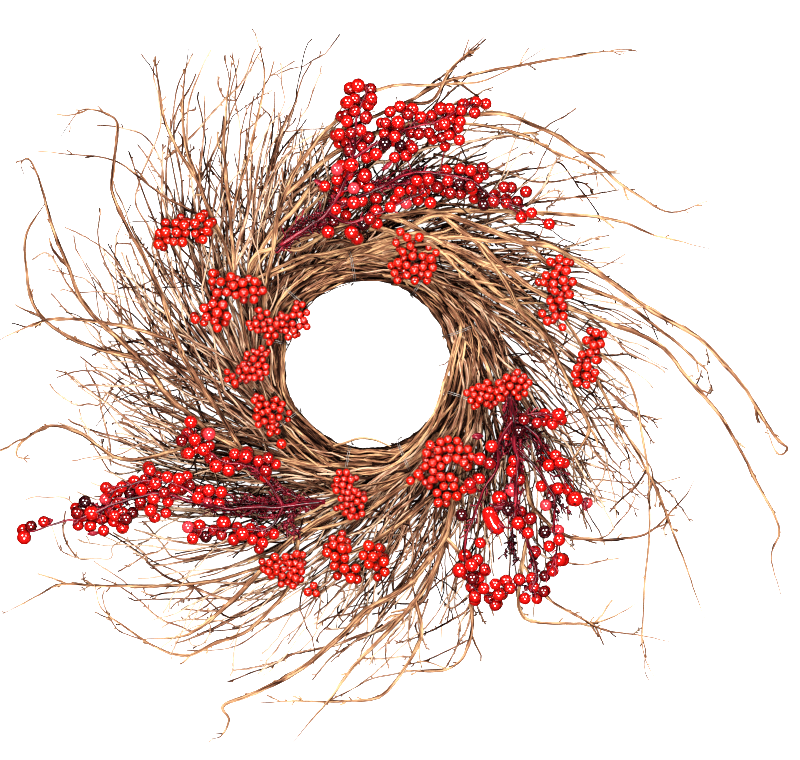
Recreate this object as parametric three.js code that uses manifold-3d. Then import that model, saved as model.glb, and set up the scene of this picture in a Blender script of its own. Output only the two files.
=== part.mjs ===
// A berry wreath of twigs and vines, lying face up with the berries on the +Z side.
// Lengths are in millimetres. Places in the plan are counted from the middle of the hole,
// with +Y towards the top of the wreath as it hangs. Angles are clockwise from the top.

import * as THREE from "three";
import { mergeVertices } from "three/addons/utils/BufferGeometryUtils.js";
import Module from "manifold-3d";

const wasm = await Module();
wasm.setup();

// Gap kept between neighbouring pieces
const SEAT = 0.3;

// Steel ring in the middle of the bundle, with a rope of vines inside and outside it
const RING_STEPS = 36;
const STEEL_RING = { radius: 89.5, wire: 1.35, z: 19, sides: 4 };
const INNER_ROPE = { radius: 81.4, halfWidth: 6.4, halfHeight: 15, z: 19, strands: 4, turns: 2 };
const OUTER_ROPE = { radius: 97.2, halfWidth: 6.0, halfHeight: 13, z: 20.5, strands: 4, turns: -2 };
const STRAND_DEPTH = 0.16;

// Binding wires round the bundle
const TIE_ANGLES = [350, 32, 70, 110, 158, 190, 234, 284, 313];
const TIE = { wire: 0.45, radius: 89.1, halfWidth: 15.2, z: 19, halfHeight: 16.2, steps: 8,
  sides: 3 };

// Twig bunches: twelve that spiral out clockwise, each in its own lane of 30 degrees
const BUNCHES = 12;
const LANE_DEG = 360 / BUNCHES;
// Radii at which a twig may bend, and its angle to the circle at some radii
const STATIONS = [106, 116, 132, 160, 205, 265, 330];
const TWIG_ANGLES = [[92, 12], [130, 40], [160, 50], [300, 55]];
// How far the twigs reach in each direction, as clockwise angle and radius
const REACH = [[0, 240], [30, 255], [45, 235], [60, 215], [90, 208], [120, 252], [140, 262],
  [150, 243], [180, 238], [200, 270], [225, 285], [245, 278], [270, 280], [290, 278],
  [300, 272], [315, 290], [330, 303], [345, 280], [360, 240]];
const STRANDS = [
  { lane: 0.46, z: 22, reach: 0.95, thick: 4.6 },
  { lane: 0.24, z: 9, reach: 0.85, thick: 4.0 },
  { lane: 0.8, z: 30, reach: 0.95, thick: 4.0 },
  { lane: 0.62, z: 11, reach: 0.85, thick: 4.0 },
];
// The butt lies along the outer rope, and the strands start from it. Lanes run from 0 to 1.
const BUTT = { z: 20, thick: 2.6, lanes: [0.12, 0.38, 0.62, 0.88] };
// A side twig forks from each strand, at the numbered station
const SIDE_TWIGS = [
  { start: 1, lane: 0.3, z: 32, reach: 1.0, thick: 2.2 },
  { start: 2, lane: 0.1, z: 8, reach: 0.75, thick: 1.8 },
  { start: 2, lane: 0.64, z: 33, reach: 0.9, thick: 1.8 },
  { start: 2, lane: 0.8, z: 7, reach: 0.9, thick: 1.8 },
];
// A twig grows to at least this multiple of its first radius, and has left its parent's lane
// by the second multiple
const LEAST_GROWTH = 1.3;
const FORK_LENGTH = 1.22;
const TAPER = 0.6;
const RISE = 1.6;
const TWIG_TIP = 0.65;
const TWIG_LOW = 2.6;
const TWIG_HIGH = 37;
const LAST_STEP = 8;
const TYPICAL_REACH = 230;
// The share of its reach that a strand or a side twig gets, from its least to its most
const STRAND_REACH = [0.92, 1.08];
const SIDE_REACH = [0.9, 1.05];
// How far a side twig may stray sideways, in lanes, and upwards
const SIDE_STRAY = { lane: 0.06, z: 2 };
const BUNCH_SEED = 101;
const BUNCH_SEED_STEP = 7;
// The three bunches whose lowest strand carries the wreath, and where along it
const FOOT_BUNCHES = [0, 4, 8];
const FOOT_FROM = 131;
const FOOT_TO = 161;
const FOOT_Z = 1.0;
const FOOT_THICK = 2.6;

// Long vines in front of the twigs. A vine that starts on a point of an earlier one forks there.
// Each has its thickness at the root and the tip, its height at the tip, and its course.
const VINES = {
  long_vines_right: { z: 44, vines: [
    { thick: [2.7, 1.1], z: 50, at: [66,134, 103,122, 138,110, 170,103, 215,76, 256,47, 291,28,
      322,-1, 348,-36, 367,-67, 377,-76, 368,-80, 356,-52] },
    { thick: [1.8, 0.8], z: 47, at: [138,110, 165,88, 189,71, 228,56, 266,28, 300,-1, 306,-8] },
    { thick: [2.3, 0.9], z: 45, at: [66,134, 100,108, 130,82, 165,58, 215,38, 260,19, 292,-17,
      321,-52, 345,-97, 369,-145, 363,-172, 371,-207] },
    { thick: [2.7, 1.7], z: 51, at: [100,108, 120,80, 138,48, 162,22, 175,-5, 193,-42, 199,-58,
      193,-73, 183,-87] },
    { thick: [2.3, 1.0], z: 44, at: [165,58, 190,20, 207,-17, 232,-62, 256,-105, 277,-157,
      293,-201, 303,-229] },
    { thick: [1.6, 0.8], z: 46, at: [190,20, 209,9, 234,-13, 247,-62, 254,-130, 248,-217,
      248,-257, 262,-291] },
  ] },
  long_vines_top: { z: 43, vines: [
    { thick: [2.3, 0.8], z: 46, at: [-85,100, -75,150, -45,200, 8,245, 53,250, 108,255, 167,287] },
    { thick: [1.8, 0.8], z: 44, at: [-45,200, 34,234, 77,255, 156,271, 205,279, 238,281] },
    { thick: [1.5, 0.8], z: 50, at: [34,234, 59,237, 77,266, 106,294] },
    { thick: [2.3, 0.9], z: 47, at: [-75,150, -20,195, 40,215, 103,224, 131,221, 173,202, 209,176,
      240,152, 273,136, 305,146] },
    { thick: [1.8, 0.8], z: 43, at: [40,215, 100,214, 138,205, 173,188, 202,175, 209,152] },
    { thick: [2.2, 0.8], z: 44, at: [-85,100, -30,122, 40,135, 100,137, 154,135, 218,130, 260,115,
      308,103] },
  ] },
  long_vines_upper_left: { z: 42, vines: [
    { thick: [2.0, 0.8], z: 46, at: [-118,70, -130,112, -152,135, -183,151, -225,182, -281,190,
      -307,191] },
    { thick: [1.7, 0.8], z: 50, at: [-130,112, -150,160, -165,215, -160,283] },
    { thick: [2.0, 0.8], z: 44, at: [-118,70, -122,130, -128,200, -120,280] },
    { thick: [1.4, 0.8], z: 46, at: [-150,160, -180,215, -190,278] },
    { thick: [1.6, 0.8], z: 47, at: [-122,130, -105,190, -92,250, -95,287] },
  ] },
  long_vines_left: { z: 44, vines: [
    { thick: [2.9, 1.0], z: 46, at: [-113,-77, -137,-63, -160,-45, -183,-23, -203,4, -229,28,
      -253,53, -268,88, -283,126, -289,151, -301,182, -309,180, -307,168] },
    { thick: [2.6, 1.0], z: 50, at: [-113,-77, -129,-48, -157,-6, -169,19, -182,56, -194,85,
      -212,119, -228,157, -223,210, -232,224, -257,227, -274,203] },
    { thick: [1.7, 1.0], z: 45, at: [-169,19, -212,32, -245,38, -281,40, -296,37, -330,21] },
    { thick: [1.6, 0.8], z: 43, at: [-203,4, -234,11, -272,26, -300,54, -307,111, -289,145] },
    { thick: [1.7, 0.8], z: 44, at: [-137,-63, -180,-80, -221,-86, -255,-64, -281,-56, -296,-60,
      -312,-73, -313,-84, -300,-86] },
  ] },
  long_vines_lower_left: { z: 42, vines: [
    { thick: [2.2, 0.9], z: 44, at: [-60,-150, -93,-182, -117,-207, -146,-233, -169,-244,
      -203,-247] },
    { thick: [1.8, 0.8], z: 46, at: [-60,-150, -70,-200, -105,-238, -138,-252, -163,-262,
      -189,-254, -234,-223, -245,-196] },
    { thick: [1.7, 0.9], z: 43, at: [-93,-182, -140,-195, -185,-199, -230,-199, -274,-198,
      -298,-209, -330,-226] },
  ] },
  long_vines_bottom: { z: 43, vines: [
    { thick: [2.9, 1.0], z: 45, at: [69,-153, 49,-183, 28,-204, -5,-224, -29,-249, -72,-281,
      -105,-296, -129,-307, -124,-319, -131,-333, -140,-336] },
    { thick: [2.4, 0.9], z: 49, at: [69,-153, 61,-184, 44,-211, 20,-238, -12,-271, -35,-302,
      -67,-339] },
    { thick: [1.6, 0.8], z: 43, at: [44,-211, 48,-247, 22,-289, 4,-301, -19,-303, -58,-303,
      -100,-304] },
    { thick: [1.5, 0.8], z: 44, at: [69,-153, 93,-185, 93,-214, 94,-238, 86,-263, 67,-275,
      34,-274] },
  ] },
  long_vines_lower_right: { z: 42, vines: [
    { thick: [1.9, 0.8], z: 44, at: [140,-100, 150,-130, 178,-154, 202,-157, 228,-157, 254,-150,
      283,-121, 293,-104] },
    { thick: [1.7, 0.8], z: 43, at: [150,-130, 140,-180, 138,-221, 156,-231, 191,-232, 218,-228,
      248,-210] },
    { thick: [1.4, 0.8], z: 46, at: [140,-180, 162,-210, 186,-225, 210,-238, 238,-243,
      276,-250] },
  ] },
};

// Berry sprays: stems in the same form as the vines, and the places of the berries on them.
// The solid keeps the berries that are at least SPRAY_SPACING apart.
const SPRAY_BERRY = 5.5;
const SPRAY_SPACING = 20;
const SPRAY_DEPTH = 9;
const SPRAYS = {
  berry_spray_top: { z: 58, seed: 31, stems: [
    { thick: [2.6, 1.1], z: 60, at: [-78,107, -55,122, -35,136, -22,160, -12,185, -10,212, -4,235,
      1,252] },
    { thick: [1.7, 0.9], z: 62, at: [-12,185, 12,200, 34,210, 56,215, 75,224, 95,232] },
    { thick: [2.0, 0.9], z: 58, at: [-35,136, -5,150, 20,163, 50,172, 80,168, 100,160, 118,147,
      135,140, 150,134, 164,126] },
    { thick: [1.6, 0.9], z: 62, at: [-35,136, -18,128, 5,134, 30,146, 52,156] },
  ], berries: [-6,250, 1,248, 4,239, -17,235, -11,238, 1,233, -12,228, -18,224, -1,222, -18,218,
    -6,210, -23,207, -16,208, 1,204, -18,199, -6,195, -15,193, 8,189, 0,186, -23,178, -14,179,
    -2,169, -27,167, -27,174, -38,160, -26,155, 2,158, -12,158, 8,149, -5,147, -22,144, -12,145,
    -27,140, -19,134, 8,137, 3,131, -4,125, -30,128, -35,119, -13,119, 21,227, 31,231, 40,228,
    36,224, 17,217, 29,218, 27,212, 17,207, 25,204, 47,223, 40,208, 16,198, 30,197, 25,186, 35,188,
    41,194, 47,207, 55,208, 59,224, 66,229, 74,230, 70,216, 75,221, 85,228, 88,233, 96,235, 97,226,
    84,219, 81,212, 68,204, 75,206, 82,202, 21,141, 27,148, 32,155, 37,156, 34,145, 46,165, 54,166,
    52,156, 57,145, 63,159, 71,174, 73,164, 75,154, 84,153, 84,175, 94,174, 103,176, 100,168,
    93,160, 83,162, 104,152, 105,143, 115,146, 124,145, 124,159, 129,159, 135,146, 143,155,
    139,132, 148,136, 164,126] },
  berry_spray_lower_left: { z: 56, seed: 32, stems: [
    { thick: [2.6, 1.1], z: 60, at: [-38,-124, -75,-128, -110,-130, -145,-128, -180,-118,
      -215,-122, -250,-136, -275,-143, -305,-151] },
    { thick: [1.7, 0.9], z: 58, at: [-75,-128, -90,-104, -104,-92, -125,-88, -150,-74, -160,-57] },
    { thick: [1.7, 0.9], z: 58, at: [-75,-128, -85,-146, -105,-150, -130,-148, -158,-150] },
    { thick: [1.5, 0.9], z: 62, at: [-145,-128, -165,-110, -190,-104, -215,-108, -232,-117] },
  ], berries: [-159,-54, -161,-61, -167,-69, -155,-68, -142,-63, -154,-75, -147,-77, -160,-80,
    -141,-85, -136,-92, -119,-81, -124,-95, -116,-91, -107,-84, -98,-87, -89,-85, -90,-90,
    -91,-96, -195,-96, -189,-101, -178,-102, -171,-103, -162,-102, -209,-106, -199,-106, -190,-108,
    -159,-109, -220,-112, -230,-115, -203,-113, -195,-114, -174,-113, -215,-115, -192,-118,
    -184,-116, -234,-123, -204,-124, -225,-125, -179,-123, -150,-115, -152,-120, -141,-114,
    -133,-115, -143,-124, -134,-125, -255,-125, -261,-129, -260,-134, -249,-134, -238,-139,
    -260,-145, -249,-146, -237,-150, -226,-137, -218,-139, -220,-147, -211,-134, -195,-132,
    -191,-138, -181,-134, -232,-132, -291,-142, -303,-147, -308,-155, -161,-147, -150,-147,
    -157,-157, -146,-154, -129,-143, -131,-154, -117,-147, -120,-158, -112,-153, -105,-148,
    -103,-158, -94,-151, -94,-161, -84,-153] },
  berry_spray_lower_right: { z: 57, seed: 33, stems: [
    { thick: [2.6, 1.1], z: 60, at: [128,-28, 132,-50, 134,-75, 136,-100, 133,-125, 136,-145,
      147,-165, 152,-190, 148,-206] },
    { thick: [1.8, 0.9], z: 60, at: [132,-50, 150,-62, 163,-85, 178,-105, 190,-119, 198,-125] },
    { thick: [1.7, 0.9], z: 62, at: [134,-75, 155,-98, 167,-120, 168,-150, 169,-175, 160,-192] },
    { thick: [1.9, 0.9], z: 60, at: [132,-50, 118,-72, 116,-95, 104,-115, 94,-140, 88,-165,
      90,-190, 100,-203, 118,-207, 134,-202] },
    { thick: [1.4, 0.9], z: 62, at: [132,-50, 150,-45, 172,-48] },
    { thick: [1.4, 3.4], z: 64, at: [133,-125, 124,-128, 113,-131] },
    { thick: [4.6, 4.6], z: 66, at: [113,-131, 114,-140, 120,-149] },
  ], berries: [160,-46, 172,-46, 175,-50, 167,-53, 153,-53, 124,-65, 112,-74, 103,-86, 109,-89,
    132,-87, 131,-96, 137,-104, 131,-113, 119,-121, 100,-104, 94,-107, 94,-112, 161,-83,
    164,-91, 170,-83, 173,-88, 157,-110, 161,-127, 172,-112, 181,-113, 187,-121, 198,-125,
    85,-136, 127,-131, 138,-133, 136,-143, 147,-139, 145,-152, 102,-161, 151,-169, 160,-151,
    172,-150, 173,-158, 164,-164, 173,-176, 167,-186, 159,-191, 159,-205, 89,-173, 86,-185,
    93,-182, 98,-178, 104,-185, 95,-192, 100,-192, 95,-200, 97,-209, 105,-202, 116,-200, 111,-211,
    118,-206, 115,-216, 127,-196, 128,-201, 136,-194, 149,-194, 150,-200, 144,-211, 151,-211] },
};

// Small berry clusters: the height and run of the main stalk, and the berries round it.
const CLUSTERS = {
  berry_cluster_01: { z: 56, berry: 4.6, stalk: [-187,113, -166,118, -146,122],
    berries: [-172,127, -186,118, -187,108, -180,118, -173,118, -164,123, -164,119, -180,112,
      -173,111, -167,111, -155,127, -151,131, -143,125, -154,117, -148,113, -144,120] },
  berry_cluster_02: { z: 46, berry: 4.2, stalk: [-139,74, -120,68, -98,67],
    berries: [-139,81, -139,75, -132,74, -135,64, -126,65, -122,77, -121,72, -112,73, -118,62,
      -111,64, -101,74, -102,66, -102,59, -94,66] },
  berry_cluster_03: { z: 46, berry: 4.4, stalk: [-152,41, -138,46, -134,36],
    berries: [-138,54, -131,53, -146,49, -145,43, -147,38, -154,40, -135,46, -137,39, -126,43,
      -135,33] },
  berry_cluster_04: { z: 43, berry: 3.4, stalk: [-104,35, -84,34, -60,44],
    berries: [-97,48, -90,46, -96,43, -106,36, -104,33, -100,36, -99,31, -92,36, -88,38, -92,32,
      -82,36, -76,43, -76,37, -86,31, -83,26, -89,25, -88,20, -73,42, -67,44, -67,36, -73,30,
      -66,30, -65,26, -71,24, -63,50, -59,53, -60,45, -55,46, -57,39, -60,34, -55,34] },
  berry_cluster_05: { z: 43, berry: 3.3, stalk: [-124,-11, -106,-4, -95,9],
    berries: [-95,14, -99,10, -91,9, -108,9, -102,5, -94,4, -111,-1, -98,-1, -109,-4, -91,-3,
      -103,-5, -115,-7, -97,-8, -91,-7, -106,-12, -101,-12, -112,-11, -126,-7, -121,-11,
      -126,-14, -119,-17] },
  berry_cluster_06: { z: 43, berry: 3.4, stalk: [-97,-36, -86,-46, -84,-60],
    berries: [-96,-31, -100,-33, -97,-37, -91,-37, -98,-41, -94,-43, -90,-42, -82,-32, -84,-38,
      -76,-36, -78,-41, -70,-44, -86,-47, -99,-48, -97,-54, -93,-52, -81,-49, -84,-51, -85,-56,
      -86,-62, -82,-61] },
  berry_single: { z: 43, berry: 4.6, stalk: [-77,-72, -80,-76], berries: [-77,-72] },
  berry_cluster_07: { z: 44, berry: 4.1, stalk: [32,114, 40,98, 44,80],
    berries: [30,119, 36,114, 47,114, 26,109, 39,106, 32,101, 41,97, 50,97, 62,100, 57,94,
      24,89, 28,90, 34,89, 52,90, 43,85, 51,86, 58,87, 25,81, 27,76, 36,80, 43,75, 54,83, 54,75] },
  berry_cluster_08: { z: 55, berry: 4.1, stalk: [171,92, 170,72, 168,52, 171,38],
    berries: [165,92, 174,94, 179,92, 173,87, 179,84, 161,79, 159,74, 169,81, 177,75, 185,74,
      168,72, 179,68, 169,66, 182,63, 165,56, 174,57, 167,51, 176,53, 158,45, 176,43, 170,43,
      162,39, 176,33] },
  berry_cluster_09: { z: 55, berry: 4.2, stalk: [208,25, 200,10, 195,-12],
    berries: [207,28, 212,27, 199,20, 202,17, 210,18, 196,9, 201,9, 204,6, 189,-4, 198,-2,
      188,-10, 205,-8, 198,-11, 203,-13, 190,-16, 196,-18] },
  berry_cluster_10: { z: 48, berry: 3.6, stalk: [96,-30, 118,-25, 142,-17],
    berries: [90,-26, 94,-32, 97,-38, 99,-36, 96,-23, 100,-21, 96,-28, 103,-28, 101,-32, 108,-35,
      108,-29, 105,-21, 108,-17, 110,-24, 111,-29, 116,-26, 119,-30, 119,-18, 121,-22, 125,-25,
      126,-12, 129,-20, 133,-25, 135,-8, 136,-30, 138,-15, 141,-12, 141,-20, 142,-26, 145,-17,
      138,-21, 133,-14] },
  berry_cluster_11: { z: 46, berry: 4.2, stalk: [45,-99, 62,-88, 76,-84, 66,-116],
    berries: [57,-74, 54,-79, 63,-77, 72,-68, 75,-76, 67,-70, 81,-69, 84,-77, 90,-77, 94,-83,
      81,-85, 72,-86, 64,-85, 59,-89, 53,-92, 66,-92, 60,-96, 46,-99, 39,-105, 58,-104, 66,-101,
      75,-102, 87,-89, 90,-92, 69,-110, 78,-110, 63,-116, 72,-119, 81,-119, 64,-125, 87,-113] },
  berry_cluster_12: { z: 46, berry: 3.5, stalk: [-22,-101, -16,-120, -10,-134],
    berries: [-25,-98, -19,-98, -27,-104, -20,-103, -15,-104, -27,-109, -22,-110, -16,-111,
      -27,-113, -22,-114, -17,-116, -11,-115, -23,-121, -19,-121, -14,-120, -9,-118, -4,-121,
      -18,-126, -14,-127, -9,-124, -6,-128, -22,-129, -19,-133, -13,-131, -15,-137, -9,-137,
      -5,-134] },
  berry_cluster_13: { z: 52, berry: 3.6, stalk: [-84,-182, -64,-184],
    berries: [-83,-175, -87,-179, -80,-178, -82,-183, -92,-185, -88,-186, -83,-186, -86,-190,
      -73,-174, -70,-179, -74,-185, -69,-184, -76,-190, -77,-198, -67,-199, -63,-171, -59,-173,
      -64,-180, -61,-177, -61,-182, -65,-186, -60,-186, -65,-191, -69,-191, -70,-194] },
  berry_cluster_14: { z: 50, berry: 4.8, stalk: [-30,-166, -22,-180, -12,-190],
    berries: [-23,-159, -31,-164, -34,-169, -22,-168, -29,-173, -21,-175, -19,-166, -29,-181,
      -20,-183, -18,-187, -10,-184, -15,-192] },
  berry_cluster_15: { z: 53, berry: 4.9, stalk: [0,-170, 14,-184],
    berries: [1,-165, -2,-172, 8,-171, 2,-178, 5,-174, 15,-178, 16,-187] },
  berry_cluster_16: { z: 50, berry: 3.8, stalk: [-50,-203, -44,-198],
    berries: [-48,-200, -53,-205, -46,-206] },
};
// How much higher a cluster's middle is than its edge, and its spacing in berry radii
const CLUSTER_LIFT = 5;
const CLUSTER_SPACING = 3.4;
// Radii of a cluster's main stalk and its leg, of a berry's own stalk, and of the smallest
// berry that gets five sides
const CORE = 2.2;
const LEG = [1.3, 1.1];
const STALK = 0.6;
const LARGE_BERRY = 4.9;
// A berry's radius as a share of its listed one, from the smallest to the largest
const BERRY_SIZES = [0.95, 1.15];
const CLUSTER_SEED = 401;

const COLOURS = {
  steel: new THREE.MeshStandardMaterial({ color: 0x9da1a6, roughness: 0.35, metalness: 1 }),
  tie: new THREE.MeshStandardMaterial({ color: 0x6f6b66, roughness: 0.5, metalness: 1 }),
  rope: new THREE.MeshStandardMaterial({ color: 0x8a6a45, roughness: 0.8, metalness: 0 }),
  twig: new THREE.MeshStandardMaterial({ color: 0x6e4a2f, roughness: 0.85, metalness: 0 }),
  vine: new THREE.MeshStandardMaterial({ color: 0xb58d5a, roughness: 0.75, metalness: 0 }),
  spray: new THREE.MeshStandardMaterial({ color: 0xa80f16, roughness: 0.25, metalness: 0 }),
  berry: new THREE.MeshStandardMaterial({ color: 0xd4181a, roughness: 0.2, metalness: 0 }),
};

// A repeatable stream of numbers between 0 and 1
function randomFrom(seed) {
  let state = seed;
  return () => {
    state = (state * 16807) % 2147483647;
    return state / 2147483647;
  };
}

function between([least, most], random) {
  return THREE.MathUtils.lerp(least, most, random());
}

function lookUp(table, x) {
  for (let i = 1; i < table.length; i++) {
    const [x0, y0] = table[i - 1];
    const [x1, y1] = table[i];
    if (x <= x1) return y0 + (y1 - y0) * Math.max(0, (x - x0) / (x1 - x0));
  }
  return table[table.length - 1][1];
}

// How far a twig has turned clockwise round the wreath, in radians, once it is out at radius r
const TURN_STEP = 1;
function spiralTurn(r) {
  let turn = 0;
  for (let at = TWIG_ANGLES[0][0]; at < r; at += TURN_STEP) {
    const slope = THREE.MathUtils.degToRad(lookUp(TWIG_ANGLES, at));
    turn += Math.min(TURN_STEP, r - at) / (at * Math.tan(slope));
  }
  return turn;
}

// Width of one lane across its twigs, at radius r
function laneWidth(r) {
  const slope = THREE.MathUtils.degToRad(lookUp(TWIG_ANGLES, r));
  return r * THREE.MathUtils.degToRad(LANE_DEG) * Math.sin(slope);
}

function polar(r, clockwise, z) {
  return new THREE.Vector3(r * Math.sin(clockwise), r * Math.cos(clockwise), z);
}

function solidOf(geometry) {
  const bare = geometry.clone();
  bare.deleteAttribute("normal");
  bare.deleteAttribute("uv");
  const merged = mergeVertices(bare, 1e-4);
  return new wasm.Manifold(
    new wasm.Mesh({
      numProp: 3,
      vertProperties: merged.attributes.position.array,
      triVerts: new Uint32Array(merged.index.array),
    }),
  );
}

// Skin over rows of points that all have the same length. Each row is one turn of the section.
function skin(rows, closed) {
  const n = rows[0].length;
  const index = [];
  const count = closed ? rows.length : rows.length - 1;
  for (let i = 0; i < count; i++) {
    const next = (i + 1) % rows.length;
    for (let j = 0; j < n; j++) {
      const k = (j + 1) % n;
      index.push(i * n + j, next * n + k, i * n + k);
      index.push(i * n + j, next * n + j, next * n + k);
    }
  }
  if (!closed) {
    const last = (rows.length - 1) * n;
    for (let j = 1; j < n - 1; j++) {
      index.push(0, j, j + 1);
      index.push(last, last + j + 1, last + j);
    }
  }
  const geometry = new THREE.BufferGeometry().setFromPoints(rows.flat());
  geometry.setIndex(index);
  return geometry;
}

// A tapered twig through its points, with a flat side underneath where it has three sides
function twigGeometry(points, thick, sides) {
  const whole = points[points.length - 1].clone().sub(points[0]);
  const steep = Math.abs(whole.z) > 0.8 * whole.length();
  const up = steep ? new THREE.Vector3(0, 1, 0) : new THREE.Vector3(0, 0, 1);
  const rows = points.map((point, i) => {
    const before = points[Math.max(0, i - 1)];
    const after = points[Math.min(points.length - 1, i + 1)];
    const along = after.clone().sub(before).normalize();
    const across = new THREE.Vector3().crossVectors(along, up).normalize();
    const above = new THREE.Vector3().crossVectors(across, along);
    return Array.from({ length: sides }, (_, j) => {
      const angle = Math.PI / 2 + (2 * Math.PI * j) / sides;
      return point.clone()
        .addScaledVector(across, thick[i] * Math.cos(angle))
        .addScaledVector(above, thick[i] * Math.sin(angle));
    });
  });
  return skin(rows, false);
}

function ropeGeometry(rope, extra) {
  const rows = [];
  const around = rope.strands * 2;
  for (let i = 0; i < RING_STEPS; i++) {
    const u = (2 * Math.PI * i) / RING_STEPS;
    const row = [];
    for (let j = 0; j < around; j++) {
      const v = (-2 * Math.PI * j) / around + rope.turns * u;
      const depth = j % 2 ? 1 - STRAND_DEPTH : 1;
      const r = rope.radius + (rope.halfWidth * depth + extra) * Math.cos(v);
      row.push(polar(r, u, rope.z + (rope.halfHeight * depth + extra) * Math.sin(v)));
    }
    rows.push(row);
  }
  return skin(rows, true);
}

function steelRingGeometry(extra) {
  const { radius, wire, sides, z } = STEEL_RING;
  const ring = new THREE.TorusGeometry(radius, wire + extra, sides, RING_STEPS);
  ring.rotateZ(Math.PI / 2);
  return ring.translate(0, 0, z);
}

// One turn of wire round the bundle: a rounded rectangle
function tieGeometry(degrees, extra) {
  const clockwise = THREE.MathUtils.degToRad(degrees);
  const corner = (x) => Math.sign(x) * Math.sqrt(Math.abs(x));
  const out = polar(1, clockwise, 0);
  const up = new THREE.Vector3(0, 0, 1);
  const across = new THREE.Vector3().crossVectors(out, up);
  const rows = [];
  for (let i = 0; i < TIE.steps; i++) {
    const t = (2 * Math.PI * (i + 0.5)) / TIE.steps;
    const r = TIE.radius + TIE.halfWidth * corner(Math.cos(t));
    const centre = polar(r, clockwise, TIE.z + TIE.halfHeight * corner(Math.sin(t)));
    const away = out.clone().multiplyScalar(Math.cos(t)).addScaledVector(up, Math.sin(t));
    const row = [];
    for (let j = 0; j < TIE.sides; j++) {
      const v = (2 * Math.PI * j) / TIE.sides;
      row.push(centre.clone()
        .addScaledVector(away, (TIE.wire + extra) * Math.cos(v))
        .addScaledVector(across, (TIE.wire + extra) * Math.sin(v)));
    }
    rows.push(row);
  }
  return skin(rows, true);
}

// The pieces laid so far, each with its solid and a copy that is thicker by the seat gap
const pieces = [];
const seats = [];

function boxesMeet(a, b) {
  const p = a.boundingBox();
  const q = b.boundingBox();
  return [0, 1, 2].every((i) => p.min[i] <= q.max[i] && q.min[i] <= p.max[i]);
}

function largestBody(solid) {
  const bodies = solid.decompose();
  return bodies.reduce((best, body) => (body.volume() > best.volume() ? body : best));
}

// Lays a piece: whatever would reach into an earlier piece is cut clear of it.
function lay(name, material, build) {
  let solid = build(0);
  for (const piece of pieces) {
    if (boxesMeet(solid, piece.wide)) solid = solid.subtract(piece.wide);
  }
  pieces.push({ name, material, solid: largestBody(solid), wide: build(SEAT) });
}

function joined(geometries) {
  return wasm.Manifold.union(geometries.map(solidOf));
}

// Points along a twig at which something else can be seated on it
const SAMPLE_STEP = 3;
const SEAT_DEPTH = 4;
function noteTwig(twig) {
  for (let i = 1; i < twig.points.length; i++) {
    const a = twig.points[i - 1];
    const b = twig.points[i];
    const steps = Math.max(1, Math.round(a.distanceTo(b) / SAMPLE_STEP));
    for (let j = 0; j < steps; j++) seats.push(a.clone().lerp(b, j / steps));
  }
}

// The nearest of those points, where a difference in height counts less than one in the plan
const HEIGHT_WEIGHT = 0.35;
function nearestSeat(point) {
  let best = seats[0];
  let least = Infinity;
  for (const seat of seats) {
    const away = Math.hypot(seat.x - point.x, seat.y - point.y)
      + HEIGHT_WEIGHT * Math.abs(seat.z - point.z);
    if (away < least) {
      least = away;
      best = seat;
    }
  }
  return best.clone();
}

function twigsSolid(twigs, extra) {
  return joined(twigs.map((twig) => twigGeometry(twig.points,
    twig.thick.map((t) => t + extra), twig.sides)));
}

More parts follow.
